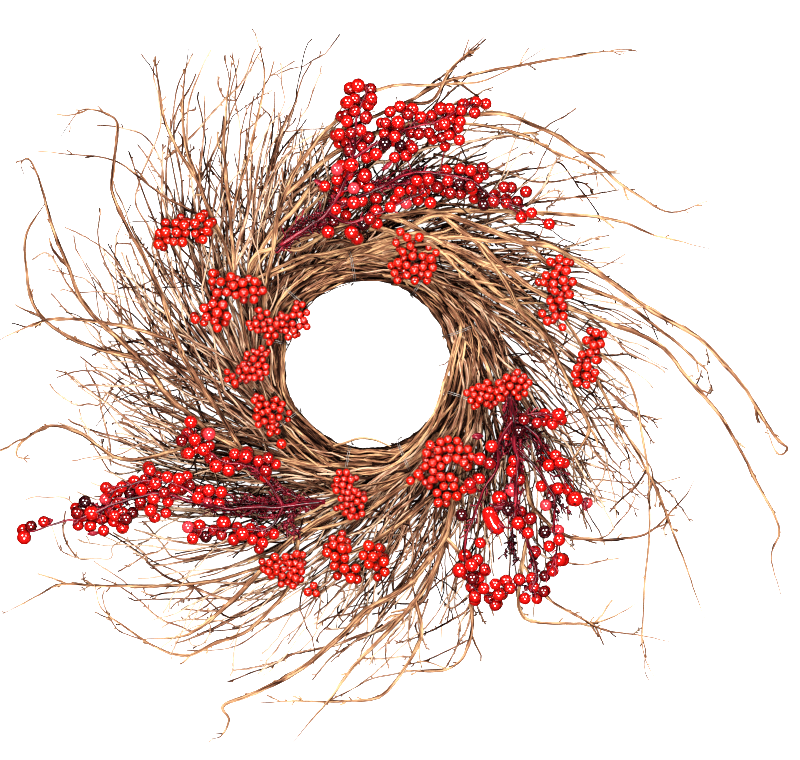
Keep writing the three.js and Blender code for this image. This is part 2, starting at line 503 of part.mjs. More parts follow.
// One bunch: a butt against the outer rope, strands from it, and side twigs forking from those
function bunchTwigs(number) {
  const random = randomFrom(BUNCH_SEED + BUNCH_SEED_STEP * number);
  const twigs = [];
  const laneStart = THREE.MathUtils.degToRad(LANE_DEG * number);
  const laneAngle = THREE.MathUtils.degToRad(LANE_DEG);
  const isFoot = FOOT_BUNCHES.includes(number);

  function reachOf(lane, share) {
    const clockwise = laneStart + laneAngle * lane + spiralTurn(TYPICAL_REACH);
    return share * lookUp(REACH, THREE.MathUtils.radToDeg(clockwise) % 360);
  }

  function grow(start, lane0, z0, lane, z, wantedReach, thick, foot) {
    const from = STATIONS[start];
    const reach = Math.max(wantedReach, from * LEAST_GROWTH);
    const radii = STATIONS.filter((r) => r >= from && r < reach - LAST_STEP);
    radii.push(reach);
    const twig = { start, lanes: [], points: [], thick: [], sides: 3 };
    radii.forEach((r, i) => {
      const t = i / (radii.length - 1);
      const drift = THREE.MathUtils.smoothstep(r, from, from * FORK_LENGTH);
      const width = THREE.MathUtils.lerp(thick, TWIG_TIP, t ** TAPER);
      const margin = Math.min(0.5, (width + SEAT) / laneWidth(r));
      const wanted = lane0 + (lane - lane0) * drift;
      const s = i === 0 ? lane0 : THREE.MathUtils.clamp(wanted, margin, 1 - margin);
      let height = THREE.MathUtils.clamp(z0 + (z - z0) * Math.min(1, t * RISE),
        TWIG_LOW + width, TWIG_HIGH - width);
      if (foot && r >= FOOT_FROM && r <= FOOT_TO) height = FOOT_Z;
      twig.lanes.push(s);
      twig.points.push(polar(r, laneStart + laneAngle * s + spiralTurn(r), height));
      twig.thick.push(foot && r <= FOOT_TO ? FOOT_THICK : width);
    });
    twigs.push(twig);
  }

  STRANDS.forEach((strand, i) => {
    const reach = reachOf(strand.lane, strand.reach * between(STRAND_REACH, random));
    grow(0, strand.lane, BUTT.z, strand.lane, strand.z, reach, strand.thick, isFoot && i === 1);
  });
  SIDE_TWIGS.forEach((side, i) => {
    const reach = reachOf(side.lane, side.reach * between(SIDE_REACH, random));
    const lane = side.lane + SIDE_STRAY.lane * (random() - 0.5);
    const parent = twigs[i];
    grow(side.start, parent.lanes[side.start], parent.points[side.start].z, lane,
      side.z + SIDE_STRAY.z * random(), reach, side.thick, false);
  });
  const butt = BUTT.lanes.map((s) => polar(STATIONS[0],
    laneStart + laneAngle * s + spiralTurn(STATIONS[0]), BUTT.z));
  twigs.push({ points: butt, thick: butt.map(() => BUTT.thick), sides: 3 });
  return twigs;
}

// Turns a flat list of plan places into pairs
function pairs(list) {
  return Array.from({ length: list.length / 2 }, (_, i) => [list[2 * i], list[2 * i + 1]]);
}

// Long vines or spray stems: a tree whose first member is led down to the nearest twig
function stemTree(list, rootZ, sides) {
  const known = new Map();
  return list.map((stem) => {
    const plan = pairs(stem.at);
    const start = known.get(plan[0].join());
    const z0 = start === undefined ? rootZ : start;
    const points = plan.map(([x, y], i) => {
      const z = z0 + ((stem.z - z0) * i) / (plan.length - 1);
      if (!known.has([x, y].join())) known.set([x, y].join(), z);
      return new THREE.Vector3(x, y, z);
    });
    const thick = points.map((_, i) => stem.thick[0]
      + ((stem.thick[1] - stem.thick[0]) * i) / (points.length - 1));
    if (start === undefined) {
      points.unshift(nearestSeat(points[0]));
      thick.unshift(stem.thick[0]);
    }
    return { points, thick, sides };
  });
}

// Keeps the places that are at least so far apart
function spaced(places, least) {
  const kept = [];
  for (const [x, y] of places) {
    if (kept.every(([a, b]) => Math.hypot(a - x, b - y) >= least)) kept.push([x, y]);
  }
  return kept;
}

function nearestOnTwigs(point, twigs) {
  let best = null;
  let least = Infinity;
  for (const twig of twigs) {
    for (let i = 1; i < twig.points.length; i++) {
      const line = new THREE.Line3(twig.points[i - 1], twig.points[i]);
      const on = line.closestPointToPoint(point, true, new THREE.Vector3());
      if (on.distanceTo(point) < least) {
        least = on.distanceTo(point);
        best = on;
      }
    }
  }
  return best;
}

// Berries and the stem each hangs from
function berriesOn(places, twigs, heightOf, size, random) {
  return places.map(([x, y]) => {
    const centre = new THREE.Vector3(x, y, heightOf(x, y));
    return { centre, radius: size * between(BERRY_SIZES, random),
      root: nearestOnTwigs(centre, twigs) };
  });
}

// A berry and its stalk, turned on one axis that runs from the stem to the far side of the berry
const UPWARD = new THREE.Vector3(0, 1, 0);
function berryGeometry({ centre, radius, root }, extra) {
  const size = radius + extra;
  const thin = STALK + extra;
  const length = Math.max(centre.distanceTo(root), radius);
  const away = centre.clone().sub(root).normalize();
  const foot = centre.clone().addScaledVector(away, -length);
  const profile = [[0, -extra], [thin, -extra], [thin, length - size * 0.8], [size, length],
    [0, length + size]].map(([x, y]) => new THREE.Vector2(x, y));
  const sides = radius > LARGE_BERRY ? 5 : 4;
  const turned = new THREE.LatheGeometry(profile, sides);
  turned.applyQuaternion(new THREE.Quaternion().setFromUnitVectors(UPWARD, away));
  return turned.translate(foot.x, foot.y, foot.z);
}

function berriesSolid(berries, extra) {
  return joined(berries.map((berry) => berryGeometry(berry, extra)));
}

function withBerries(twigs, berries, extra) {
  return twigsSolid(twigs, extra).add(berriesSolid(berries, extra));
}

// The ring, the ropes and the ties
lay("inner_vine_rope", COLOURS.rope, (extra) => solidOf(ropeGeometry(INNER_ROPE, extra)));
lay("wire_ring", COLOURS.steel, (extra) => solidOf(steelRingGeometry(extra)));
lay("outer_vine_rope", COLOURS.rope, (extra) => solidOf(ropeGeometry(OUTER_ROPE, extra)));
TIE_ANGLES.forEach((degrees, i) => {
  lay("tie_wire_" + (i + 1), COLOURS.tie, (extra) => solidOf(tieGeometry(degrees, extra)));
});
const ROPE_SEATS = 120;
for (const rope of [INNER_ROPE, OUTER_ROPE]) {
  const height = rope.z + rope.halfHeight - SEAT_DEPTH;
  const points = Array.from({ length: ROPE_SEATS + 1 }, (_, i) => polar(rope.radius,
    (2 * Math.PI * i) / ROPE_SEATS, height));
  noteTwig({ points });
}

// The twig bunches. The surface the wreath lies on trims the strands that touch it.
const GROUND = { side: 1000, depth: 20 };
const ground = new THREE.BoxGeometry(GROUND.side, GROUND.side, GROUND.depth)
  .translate(0, 0, -GROUND.depth / 2);
for (let number = 0; number < BUNCHES; number++) {
  const twigs = bunchTwigs(number);
  lay("twig_bunch_" + (number + 1), COLOURS.twig,
    (extra) => twigsSolid(twigs, extra).subtract(solidOf(ground)));
  twigs.forEach(noteTwig);
}

// The long vines
for (const [name, group] of Object.entries(VINES)) {
  const twigs = stemTree(group.vines, group.z, 3);
  lay(name, COLOURS.vine, (extra) => twigsSolid(twigs, extra));
  twigs.forEach(noteTwig);
}

// The berry sprays
for (const [name, spray] of Object.entries(SPRAYS)) {
  const random = randomFrom(spray.seed);
  const twigs = stemTree(spray.stems, spray.z, 3);
  const places = spaced(pairs(spray.berries), SPRAY_SPACING);
  const berries = berriesOn(places, twigs, () => spray.z + SPRAY_DEPTH * random(), SPRAY_BERRY, random);
  lay(name, COLOURS.spray, (extra) => withBerries(twigs, berries, extra));
}

// The small clusters, higher in the middle than at the edge
Object.entries(CLUSTERS).forEach(([name, cluster], number) => {
  const random = randomFrom(CLUSTER_SEED + number);
  const plan = pairs(cluster.stalk);
  const points = plan.map(([x, y]) => new THREE.Vector3(x, y, cluster.z));
  const stalk = { points, thick: points.map(() => CORE), sides: 3 };
  const middle = points[Math.floor(points.length / 2)];
  const leg = { points: [middle, nearestSeat(middle)], thick: LEG, sides: 3 };
  const spread = (x, y) => nearestOnTwigs(new THREE.Vector3(x, y, cluster.z), [stalk])
    .distanceTo(new THREE.Vector3(x, y, cluster.z));
  const places = spaced(pairs(cluster.berries), CLUSTER_SPACING * cluster.berry);
  const widest = Math.max(...places.map(([x, y]) => spread(x, y))) + cluster.berry;
  const heightOf = (x, y) => cluster.z + CLUSTER_LIFT * (1 - (spread(x, y) / widest) ** 2)
    + random();
  const berries = berriesOn(places, [stalk], heightOf, cluster.berry, random);
  lay(name, COLOURS.berry, (extra) => withBerries([stalk, leg], berries, extra));
});

// The meshes, moved so that the middle of the wreath's underside is the origin
const wreath = new THREE.Group();
wreath.name = "berry_wreath";
for (const { name, material, solid } of pieces) {
  const { vertProperties, triVerts, numProp } = solid.getMesh();
  const geometry = new THREE.BufferGeometry();
  const places = new THREE.InterleavedBuffer(vertProperties, numProp);
  geometry.setAttribute("position", new THREE.InterleavedBufferAttribute(places, 3, 0));
  geometry.setIndex(new THREE.BufferAttribute(triVerts, 1));
  const flat = geometry.toNonIndexed();
  flat.computeVertexNormals();
  const mesh = new THREE.Mesh(flat, material.clone());
  mesh.name = name;
  wreath.add(mesh);
}
const box = new THREE.Box3().setFromObject(wreath);
const middle = box.getCenter(new THREE.Vector3());
wreath.children.forEach((mesh) => mesh.geometry.translate(-middle.x, -middle.y, -box.min.z));

export default wreath;
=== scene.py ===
# %% [markdown]
# # A berry wreath
#
# The real wreath is a steel ring wrapped in long vines. Hundreds of loose twigs are pushed into
# it so that they sweep out clockwise, and red berries on wired stems lie in front.
#
# Nearly all of it is one kind of shape: a thin tube that tapers. It could be drawn as curves with
# a bevel, but arrays are quicker and keep every corner under control. So one function turns
# centre lines into tubes, and the care goes into where the lines run.
#
# All the shapes are worked out in millimetres from the middle of the hole, with +Y towards the
# top of the wreath as it hangs. The last step of each piece moves it to its place in metres.

import bpy
import numpy as np
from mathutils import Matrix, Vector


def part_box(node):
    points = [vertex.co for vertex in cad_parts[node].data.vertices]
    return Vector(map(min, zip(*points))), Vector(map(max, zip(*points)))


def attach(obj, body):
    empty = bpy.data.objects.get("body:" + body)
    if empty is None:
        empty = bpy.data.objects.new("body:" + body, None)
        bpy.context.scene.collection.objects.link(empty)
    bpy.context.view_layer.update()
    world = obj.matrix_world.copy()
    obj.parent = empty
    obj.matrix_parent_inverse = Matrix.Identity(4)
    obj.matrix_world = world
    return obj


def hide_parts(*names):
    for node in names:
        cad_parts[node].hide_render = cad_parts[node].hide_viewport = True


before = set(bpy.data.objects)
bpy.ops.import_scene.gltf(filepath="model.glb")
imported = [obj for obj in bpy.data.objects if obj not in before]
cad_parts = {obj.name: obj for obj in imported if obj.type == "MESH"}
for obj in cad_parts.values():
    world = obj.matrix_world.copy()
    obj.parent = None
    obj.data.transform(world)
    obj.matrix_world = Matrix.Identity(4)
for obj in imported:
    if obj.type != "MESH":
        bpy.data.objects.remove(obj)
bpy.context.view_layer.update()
MM = 0.001
RING_LOW, RING_HIGH = (np.array(corner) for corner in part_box("wire_ring"))
HUB = (RING_LOW + RING_HIGH) / 2 * [1, 1, 0] / MM
print("middle of the hole, mm:", HUB.round(1), "nodes:", len(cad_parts))

# %% [markdown]
# ## Camera
#
# The wreath lies on its back and the camera hangs straight above it. A long lens far away keeps
# the perspective as slight as in a catalogue picture. Its width is set at the height of the
# twigs, so that they come out at their true scale.

# %% Camera
VIEW_MIDDLE = (29.7, -14.4)
VIEW_WIDTH = 720
CAMERA_DISTANCE = 3000
TWIG_HEIGHT = 35
SENSOR = 36

camera_data = bpy.data.cameras.new("camera")
camera_data.sensor_width = SENSOR
camera_data.lens = SENSOR * CAMERA_DISTANCE / VIEW_WIDTH
camera = bpy.data.objects.new("camera", camera_data)
camera.location = (HUB + [*VIEW_MIDDLE, TWIG_HEIGHT + CAMERA_DISTANCE]) * MM
bpy.context.scene.collection.objects.link(camera)
bpy.context.scene.camera = camera
print("lens, mm:", camera_data.lens)

# %% [markdown]
# ## Floor and light
#
# A glossy berry shows each lamp as a small bright spot, and three softboxes give the two or three
# spots that such berries show. The sky is dim and falls to black at the horizon, so that it lays
# no grey veil over the berries. Only the camera sees it white. The floor glows for the camera
# alone too: it comes out white, as in a catalogue picture, and lights nothing from below. The view
# transform is the standard one with a little more contrast, because it keeps the reds pure.

# %% Floor and light
FLOOR_SIZE = 12
FLOOR_DROP = 0.3
FLOOR_COLOUR = (0.93, 0.93, 0.93, 1)
FLOOR_ROUGHNESS = 0.9
FLOOR_GLOW = 0.9
SKY_STRENGTH = 0.12
PIXEL_BLUR = 1.15
# Place from the middle of the wreath in metres, width in metres, and power in watts
SOFTBOXES = {
    "upper_left_softbox": ((-1.3, 1.4, 2.0), 1.2, 58),
    "upper_right_softbox": ((1.3, 1.4, 2.0), 1.2, 46),
    "front_softbox": ((0.0, -0.8, 2.6), 1.2, 88),
}


def new_material(name, values):
    """A material, with the given values on the sockets of its shader."""
    material = bpy.data.materials.new(name)
    material.use_nodes = True
    for socket, value in values.items():
        material.node_tree.nodes["Principled BSDF"].inputs[socket].default_value = value
    return material


half = FLOOR_SIZE / 2
floor_mesh = bpy.data.meshes.new("floor")
floor_corners = [(-half, -half), (half, -half), (half, half), (-half, half)]
floor_mesh.from_pydata([(x, y, -FLOOR_DROP * MM) for x, y in floor_corners], [], [(0, 1, 2, 3)])
floor_mesh.materials.append(new_material("floor", {
    "Base Color": FLOOR_COLOUR, "Roughness": FLOOR_ROUGHNESS, "Emission Color": FLOOR_COLOUR,
    "Emission Strength": FLOOR_GLOW}))
floor = bpy.data.objects.new("floor", floor_mesh)
floor.visible_diffuse = False
floor.visible_glossy = False
bpy.context.scene.collection.objects.link(floor)

for name, (place, width, power) in SOFTBOXES.items():
    lamp = bpy.data.lights.new(name, "AREA")
    lamp.shape = "DISK"
    lamp.size = width
    lamp.energy = power
    softbox = bpy.data.objects.new(name, lamp)
    softbox.location = place
    away = softbox.location.normalized()
    softbox.rotation_euler = away.to_track_quat("Z", "Y").to_euler()
    bpy.context.scene.collection.objects.link(softbox)

sky = bpy.data.worlds.new("sky")
sky.use_nodes = True
nodes, links = sky.node_tree.nodes, sky.node_tree.links
direction = nodes.new("ShaderNodeTexCoord")
axes = nodes.new("ShaderNodeSeparateXYZ")
height = nodes.new("ShaderNodeMapRange")
links.new(direction.outputs["Generated"], axes.inputs[0])
links.new(axes.outputs["Z"], height.inputs["Value"])
height.inputs["To Max"].default_value = SKY_STRENGTH
seen = nodes.new("ShaderNodeLightPath")
strongest = nodes.new("ShaderNodeMath")
strongest.operation = "MAXIMUM"
links.new(height.outputs[0], strongest.inputs[0])
links.new(seen.outputs["Is Camera Ray"], strongest.inputs[1])
links.new(strongest.outputs[0], nodes["Background"].inputs["Strength"])
nodes["Background"].inputs["Color"].default_value = (1, 1, 1, 1)
bpy.context.scene.world = sky
bpy.context.scene.view_settings.view_transform = "Standard"
bpy.context.scene.view_settings.look = "Medium High Contrast"
bpy.context.scene.cycles.filter_width = PIXEL_BLUR
print("lamps:", len(SOFTBOXES))

# %% [markdown]
# ## Shapes: a centre line becomes a tube
#
# A twig is a row of rings carried along its centre line. The rings aren't quite round, and each
# corner keeps its own share of the radius all the way along, which gives the ridges that run
# down dry bark. Three values are stored on every corner for the materials to read: `grain`, the
# place on the bark as if it were straight, `tone`, from dark to pale, and `mark`, which is 1
# where a berry has its dark eye.

# %% Frames along a centre line
STEEP = 0.8


def unit(vectors):
    """Each vector divided by its length."""
    return vectors / np.maximum(np.linalg.norm(vectors, axis=-1, keepdims=True), 1e-9)


def frames_along(points):
    """Three directions at each step of each line: ahead, sideways and above.

    Ahead is the difference between the neighbouring points. Sideways is ahead crossed with the
    vertical, or with +Y on a line that mostly climbs. Above is sideways crossed with ahead.
    """
    ahead = unit(np.gradient(points, axis=1))
    climbs = np.abs(ahead[..., 2]).mean(axis=1) > STEEP
    vertical = np.where(climbs[:, None, None], [0.0, 1.0, 0.0], [0.0, 0.0, 1.0])
    sideways = unit(np.cross(ahead, vertical))
    return ahead, sideways, np.cross(sideways, ahead)


def distance_along(points):
    """How far each step is from the start of its line."""
    steps = np.linalg.norm(np.diff(points, axis=1), axis=-1)
    return np.concatenate([np.zeros((len(points), 1)), np.cumsum(steps, axis=1)], axis=1)


# A short line that each helper is tried on
EXAMPLE = np.array([[[0, 0, 20], [0, 30, 20], [20, 60, 20.0]]])
print("length of the example, mm:", distance_along(EXAMPLE)[0, -1].round(1),
      "its side at the root:", frames_along(EXAMPLE)[1][0, 0].round(2))

# %% Tubes
GRAIN_SHIFT = 4000
RIDGE_CHANGE = 0.4
RIDGE_LIMIT = 2.5


def tubes(points, radius, tone, rng, sides=5, rough=0.1, flat=1.0, skin=0):
    """Closed tubes over many centre lines at once: points is lines x steps x 3.

    A corner is centre + reach * (cos a * sideways + sin a * above). Its reach is the radius, times
    1 + rough * a random number that is nearly kept along the line, times flat + (1 - flat) * cos^2
    of the angle from the line's own broad side. Both ends are closed with a flat face.
    """
    lines, steps = points.shape[:2]
    radius = np.broadcast_to(radius, (lines, steps))
    _, sideways, above = frames_along(points)
    angle = 2 * np.pi * np.arange(sides) / sides
    ridges = rng.normal(size=(lines, 1, sides)) + RIDGE_CHANGE * rng.normal(size=(lines, steps, sides))
    broad = rng.uniform(0, np.pi, (lines, 1, 1))
    reach = radius[..., None] * (1 + rough * np.clip(ridges, -RIDGE_LIMIT, RIDGE_LIMIT))
    reach = reach * (flat + (1 - flat) * np.cos(angle - broad) ** 2)
    across, up = reach * np.cos(angle), reach * np.sin(angle)
    corners = (points[:, :, None] + across[..., None] * sideways[:, :, None]
               + up[..., None] * above[:, :, None])
    length = distance_along(points) + rng.uniform(0, GRAIN_SHIFT, (lines, 1))
    length = np.broadcast_to(length[..., None], across.shape)
    tone = np.broadcast_to(np.asarray(tone, float).reshape(lines, -1, 1), across.shape)
    here = np.arange(lines * steps * sides).reshape(lines, steps, sides)
    turned = np.roll(here, -1, axis=2)
    walls = np.stack([here[:, :-1], here[:, 1:], turned[:, 1:], turned[:, :-1]], axis=-1)
    ends = np.concatenate([here[:, 0], here[:, -1, ::-1]])
    return {"corners": corners.reshape(-1, 3), "faces": [walls.reshape(-1, 4), ends],
            "grain": np.stack([across, up, length], axis=-1).reshape(-1, 3),
            "tone": tone.ravel(), "mark": np.zeros(tone.size), "skin": skin}


EXAMPLE_TUBE = tubes(EXAMPLE, 1.0, [0.5], np.random.default_rng(1))
print("corners of the example as a tube:", len(EXAMPLE_TUBE["corners"]))

# %% Smooth curves
def curve_through(points, per_span):
    """A smooth curve through the points of each line, by the Catmull-Rom formula.

    Between points b and c, with neighbours a and d, it is half of 2b + (c - a) t
    + (2a - 5b + 4c - d) t^2 + (3b - a - 3c + d) t^3, for t from 0 to 1.
    """
    first = 2 * points[:, :1] - points[:, 1:2]
    last = 2 * points[:, -1:] - points[:, -2:-1]
    padded = np.concatenate([first, points, last], axis=1)[:, :, None]
    a, b, c, d = padded[:, :-3], padded[:, 1:-2], padded[:, 2:-1], padded[:, 3:]
    t = (np.arange(per_span) / per_span)[:, None]
    curve = (2 * b + (c - a) * t + (2 * a - 5 * b + 4 * c - d) * t ** 2
             + (3 * b - a - 3 * c + d) * t ** 3) / 2
    curve = curve.reshape(len(points), -1, points.shape[-1])
    return np.concatenate([curve, points[:, -1:]], axis=1)


print("steps of the example as a curve:", curve_through(EXAMPLE, 10).shape[1])

# %% Bends
# The range that a wave length is multiplied by at random
WAVE_RANGE = (0.75, 1.35)


def sway(points, rng, size, waves=(110, 45, 19)):
    """Bends lines at random: adds sines along the line, each with the given wave length in mm,
    a random phase, and a height of size times that length, or half of it up and down. It fades in
    from the root."""
    along = distance_along(points)[..., None]
    drift = np.zeros_like(points)
    for wave in waves:
        stretch = wave * rng.uniform(*WAVE_RANGE, (len(points), 1, 3))
        phase = rng.uniform(0, 2 * np.pi, (len(points), 1, 3))
        drift += wave * (np.sin(2 * np.pi * along / stretch + phase) - np.sin(phase))
    fade = np.minimum(1, along / waves[0])
    return points + size * fade * drift * [1, 1, 0.5]


bent = sway(EXAMPLE, np.random.default_rng(1), size=0.02)
print("a bend moves the example's tip by, mm:", (bent - EXAMPLE)[0, -1].round(1))

# %% Kinks
# The length of the slow wave, in mm, and its size by that of the bend. Then the ranges that a
# joint's length and its kink are multiplied by at random, and the way over which it all fades in.
SLOW_WAVE = (45, 100)
SLOW_SHARE = 0.6
JOINT_RANGE = (0.7, 1.6)
KINK_RANGE = (0.2, 1.5)
STRAIGHT_ROOT = 20


def wander(points, rng, bend, kink, joint=20):
    """Turns every step of a line about the vertical, then adds the steps up again.

    The turn, in radians, is a random bend that grows evenly to the tip, plus a slow wave, plus a
    kink that changes sign at each joint, as a twig does where a leaf grew. It fades in from the
    root.
    """
    lines = len(points)
    along = distance_along(points)
    turn = bend * rng.normal(size=(lines, 1)) * along / along[:, -1:]
    wave = along / rng.uniform(*SLOW_WAVE, (lines, 1)) + rng.random((lines, 1))
    turn += SLOW_SHARE * bend * np.sin(2 * np.pi * wave)
    joints = (along / (joint * rng.uniform(*JOINT_RANGE, (lines, 1)))).astype(int)
    size = rng.uniform(*KINK_RANGE, (lines, joints.max() + 1))
    turn += kink * np.take_along_axis(size, joints, axis=1) * np.where(joints % 2, 1, -1)
    turn = (turn * np.minimum(1, along / STRAIGHT_ROOT))[:, 1:, None]
    step = np.diff(points, axis=1)
    x, y, z = step[..., :1], step[..., 1:2], step[..., 2:]
    cos, sin = np.cos(turn), np.sin(turn)
    step = np.concatenate([cos * x - sin * y, sin * x + cos * y, z], axis=-1)
    return np.concatenate([points[:, :1], points[:, :1] + np.cumsum(step, axis=1)], axis=1)


kinked = wander(EXAMPLE, np.random.default_rng(1), bend=0.25, kink=0.12)
print("kinks move the example's tip by, mm:", (kinked - EXAMPLE)[0, -1].round(1))

# %% Thickness
FLOOR_ROOM = 0.2


def above_floor(points, radius):
    """Lifts what would reach below the surface the wreath lies on: to 1.2 radii and FLOOR_ROOM."""
    lifted = points.copy()
    lifted[..., 2] = np.maximum(points[..., 2], 1.2 * np.broadcast_to(radius, points.shape[:2]) + FLOOR_ROOM)
    return lifted


def taper(thick, steps, tip=0.6, power=1.3):
    """Radii that fall from thick at the root to tip at the end, as 1 - t^power."""
    t = np.linspace(0, 1, steps)
    return tip + (np.asarray(thick)[:, None] - tip) * (1 - t ** power)


def knotted(radius, rng, share=0.15, swell=0.35):
    """Swells a random share of the steps, as the knots do where leaves grew."""
    return radius * (1 + swell * (rng.random(radius.shape) < share))


print("radii of a twig in five steps, mm:", taper([2.0], 5)[0].round(2))

# %% [markdown]
# ## From shapes to a piece
#
# A piece is many shapes in one mesh. The arrays are put one after another and handed to Blender whole, which
# takes a fraction of a second for thousands of twigs. Every piece hides the solids of the imported part that
# it stands for, and rides on the part's only body.

# %% Volume
def signed_volume(corners, faces):
    """Six times the volume is the sum over triangles of a . (b x c). It is positive if the faces
    point outwards."""
    total = 0.0
    for group in faces:
        for k in range(1, group.shape[1] - 1):
            a, b, c = (corners[group[:, i]] for i in (0, k, k + 1))
            total += np.einsum("ij,ij->i", a, np.cross(b, c)).sum()
    return total / 6


print("volume of the example as a tube, mm3:",
      signed_volume(EXAMPLE_TUBE["corners"], EXAMPLE_TUBE["faces"]).round(1))

# %% Build a piece
made = {}


def build_piece(name, shells, materials, nodes):
    """One mesh object from shells of corners, faces and values, with its place in its mesh."""
    shift = np.cumsum([0] + [len(shell["corners"]) for shell in shells])
    faces = [(group + s, shell["skin"]) for shell, s in zip(shells, shift)
             for group in shell["faces"]]
    loops = np.concatenate([group.ravel() for group, _ in faces])
    sizes = np.concatenate([np.full(len(group), group.shape[1]) for group, _ in faces])
    skins = np.concatenate([np.full(len(group), skin) for group, skin in faces])
    corners = (np.concatenate([shell["corners"] for shell in shells]) + HUB) * MM
    mesh = bpy.data.meshes.new(name)
    mesh.vertices.add(len(corners))
    mesh.vertices.foreach_set("co", corners.astype(np.float32).ravel())
    mesh.loops.add(len(loops))
    mesh.loops.foreach_set("vertex_index", loops.astype(np.int32))
    mesh.polygons.add(len(sizes))
    mesh.polygons.foreach_set("loop_start", (np.cumsum(sizes) - sizes).astype(np.int32))
    mesh.polygons.foreach_set("material_index", skins.astype(np.int32))
    mesh.update(calc_edges=True)
    mesh.shade_smooth()
    for key, kind, field in (("grain", "FLOAT_VECTOR", "vector"), ("tone", "FLOAT", "value"),
                             ("mark", "FLOAT", "value")):
        values = np.concatenate([shell[key] for shell in shells]).astype(np.float32)
        mesh.attributes.new(key, kind, "POINT").data.foreach_set(field, values.ravel())
    for material in materials:
        mesh.materials.append(material)
    piece = bpy.data.objects.new(name, mesh)
    bpy.context.scene.collection.objects.link(piece)
    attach(piece, "root")
    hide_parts(*nodes)
    made[name] = triangles = int((sizes - 2).sum())
    volume = signed_volume(corners, [group for group, _ in faces]) / MM ** 3 / 1000
    print(f"{name}: {triangles} triangles, {volume:.1f} cm3")

# %% [markdown]
# ## Materials
#
# Bark is one effect with many colours: pale and dark stretches along a twig, fine fibres that run
# lengthways, and patches where the skin has peeled. It is one node group, and every bark, vine
# and berry stem is a material that places the group with its own three colours. The pattern reads
# `grain`, so it follows each twig round its bends and never slides.

# %% Node helpers
def new_group(name, inputs, outputs):
    """A shader node group with the named sockets. Returns it with its input and output nodes."""
    group = bpy.data.node_groups.new(name, "ShaderNodeTree")
    for socket, kind in inputs:
        group.interface.new_socket(name=socket, in_out="INPUT", socket_type=kind)
    for socket, kind in outputs:
        group.interface.new_socket(name=socket, in_out="OUTPUT", socket_type=kind)
    return group, group.nodes.new("NodeGroupInput"), group.nodes.new("NodeGroupOutput")


def math_node(tree, operation, a, b=0.0):
    """A Math node. Each operand is a number or a socket."""
    node = tree.nodes.new("ShaderNodeMath")
    node.operation = operation
    for socket, value in zip(node.inputs, (a, b)):
        if isinstance(value, (int, float)):
            socket.default_value = value
        else:
            tree.links.new(value, socket)
    return node.outputs[0]


def add_swing(tree, base, noise, size):
    """base + size * (noise - 1/2)."""
    swing = math_node(tree, "MULTIPLY", math_node(tree, "SUBTRACT", noise, 0.5), size)
    return math_node(tree, "ADD", base, swing)


def noise_node(tree, vector, scale, stretch, detail=2.0):
    """Noise on a vector whose three axes are first multiplied by stretch."""
    scaled = tree.nodes.new("ShaderNodeVectorMath")
    scaled.operation = "MULTIPLY"
    tree.links.new(vector, scaled.inputs[0])
    scaled.inputs[1].default_value = stretch
    node = tree.nodes.new("ShaderNodeTexNoise")
    node.inputs["Scale"].default_value = scale
    node.inputs["Detail"].default_value = detail
    tree.links.new(scaled.outputs[0], node.inputs["Vector"])
    return node.outputs["Fac"]


def range_node(tree, value, low, high, to_low=0.0, to_high=1.0):
    """Maps low..high smoothly to to_low..to_high."""
    node = tree.nodes.new("ShaderNodeMapRange")
    node.interpolation_type = "SMOOTHSTEP"
    tree.links.new(value, node.inputs["Value"])
    for socket, number in zip(("From Min", "From Max", "To Min", "To Max"), (low, high, to_low, to_high)):
        node.inputs[socket].default_value = number
    return node.outputs[0]


def blend_node(tree, share, a, b):
    """A colour mix of a and b. All three are sockets."""
    node = tree.nodes.new("ShaderNodeMix")
    node.data_type = "RGBA"
    first, second = [s for s in node.inputs if s.type == "RGBA"]
    for value, socket in ((share, node.inputs[0]), (a, first), (b, second)):
        tree.links.new(value, socket)
    return [s for s in node.outputs if s.type == "RGBA"][0]


# %% Bark effect
# Each noise: its scale, how much each axis of the grain counts, and its detail
STRETCHES = (0.022, (0.0, 0.0, 1.0), 3.0)
FIBRES = (1.0, (0.75, 0.75, 0.05), 3.0)
PEEL = (0.25, (1.6, 1.6, 0.35), 2.0)
STRETCH_SWING = 1.1
FIBRE_SWING = 2.3
PEEL_EDGE = (0.56, 0.66)
PEEL_LIFT = 0.25
PEEL_HEIGHT = 0.5
# The shades over which one colour goes over into the next
DARK_TO_MIDDLE = (0.05, 0.5)
MIDDLE_TO_PALE = (0.45, 0.95)
# The fibres' noise, from and to, and the roughness that it gives
FIBRE_ROUGHNESS = (0.3, 0.7, 0.9, 0.55)


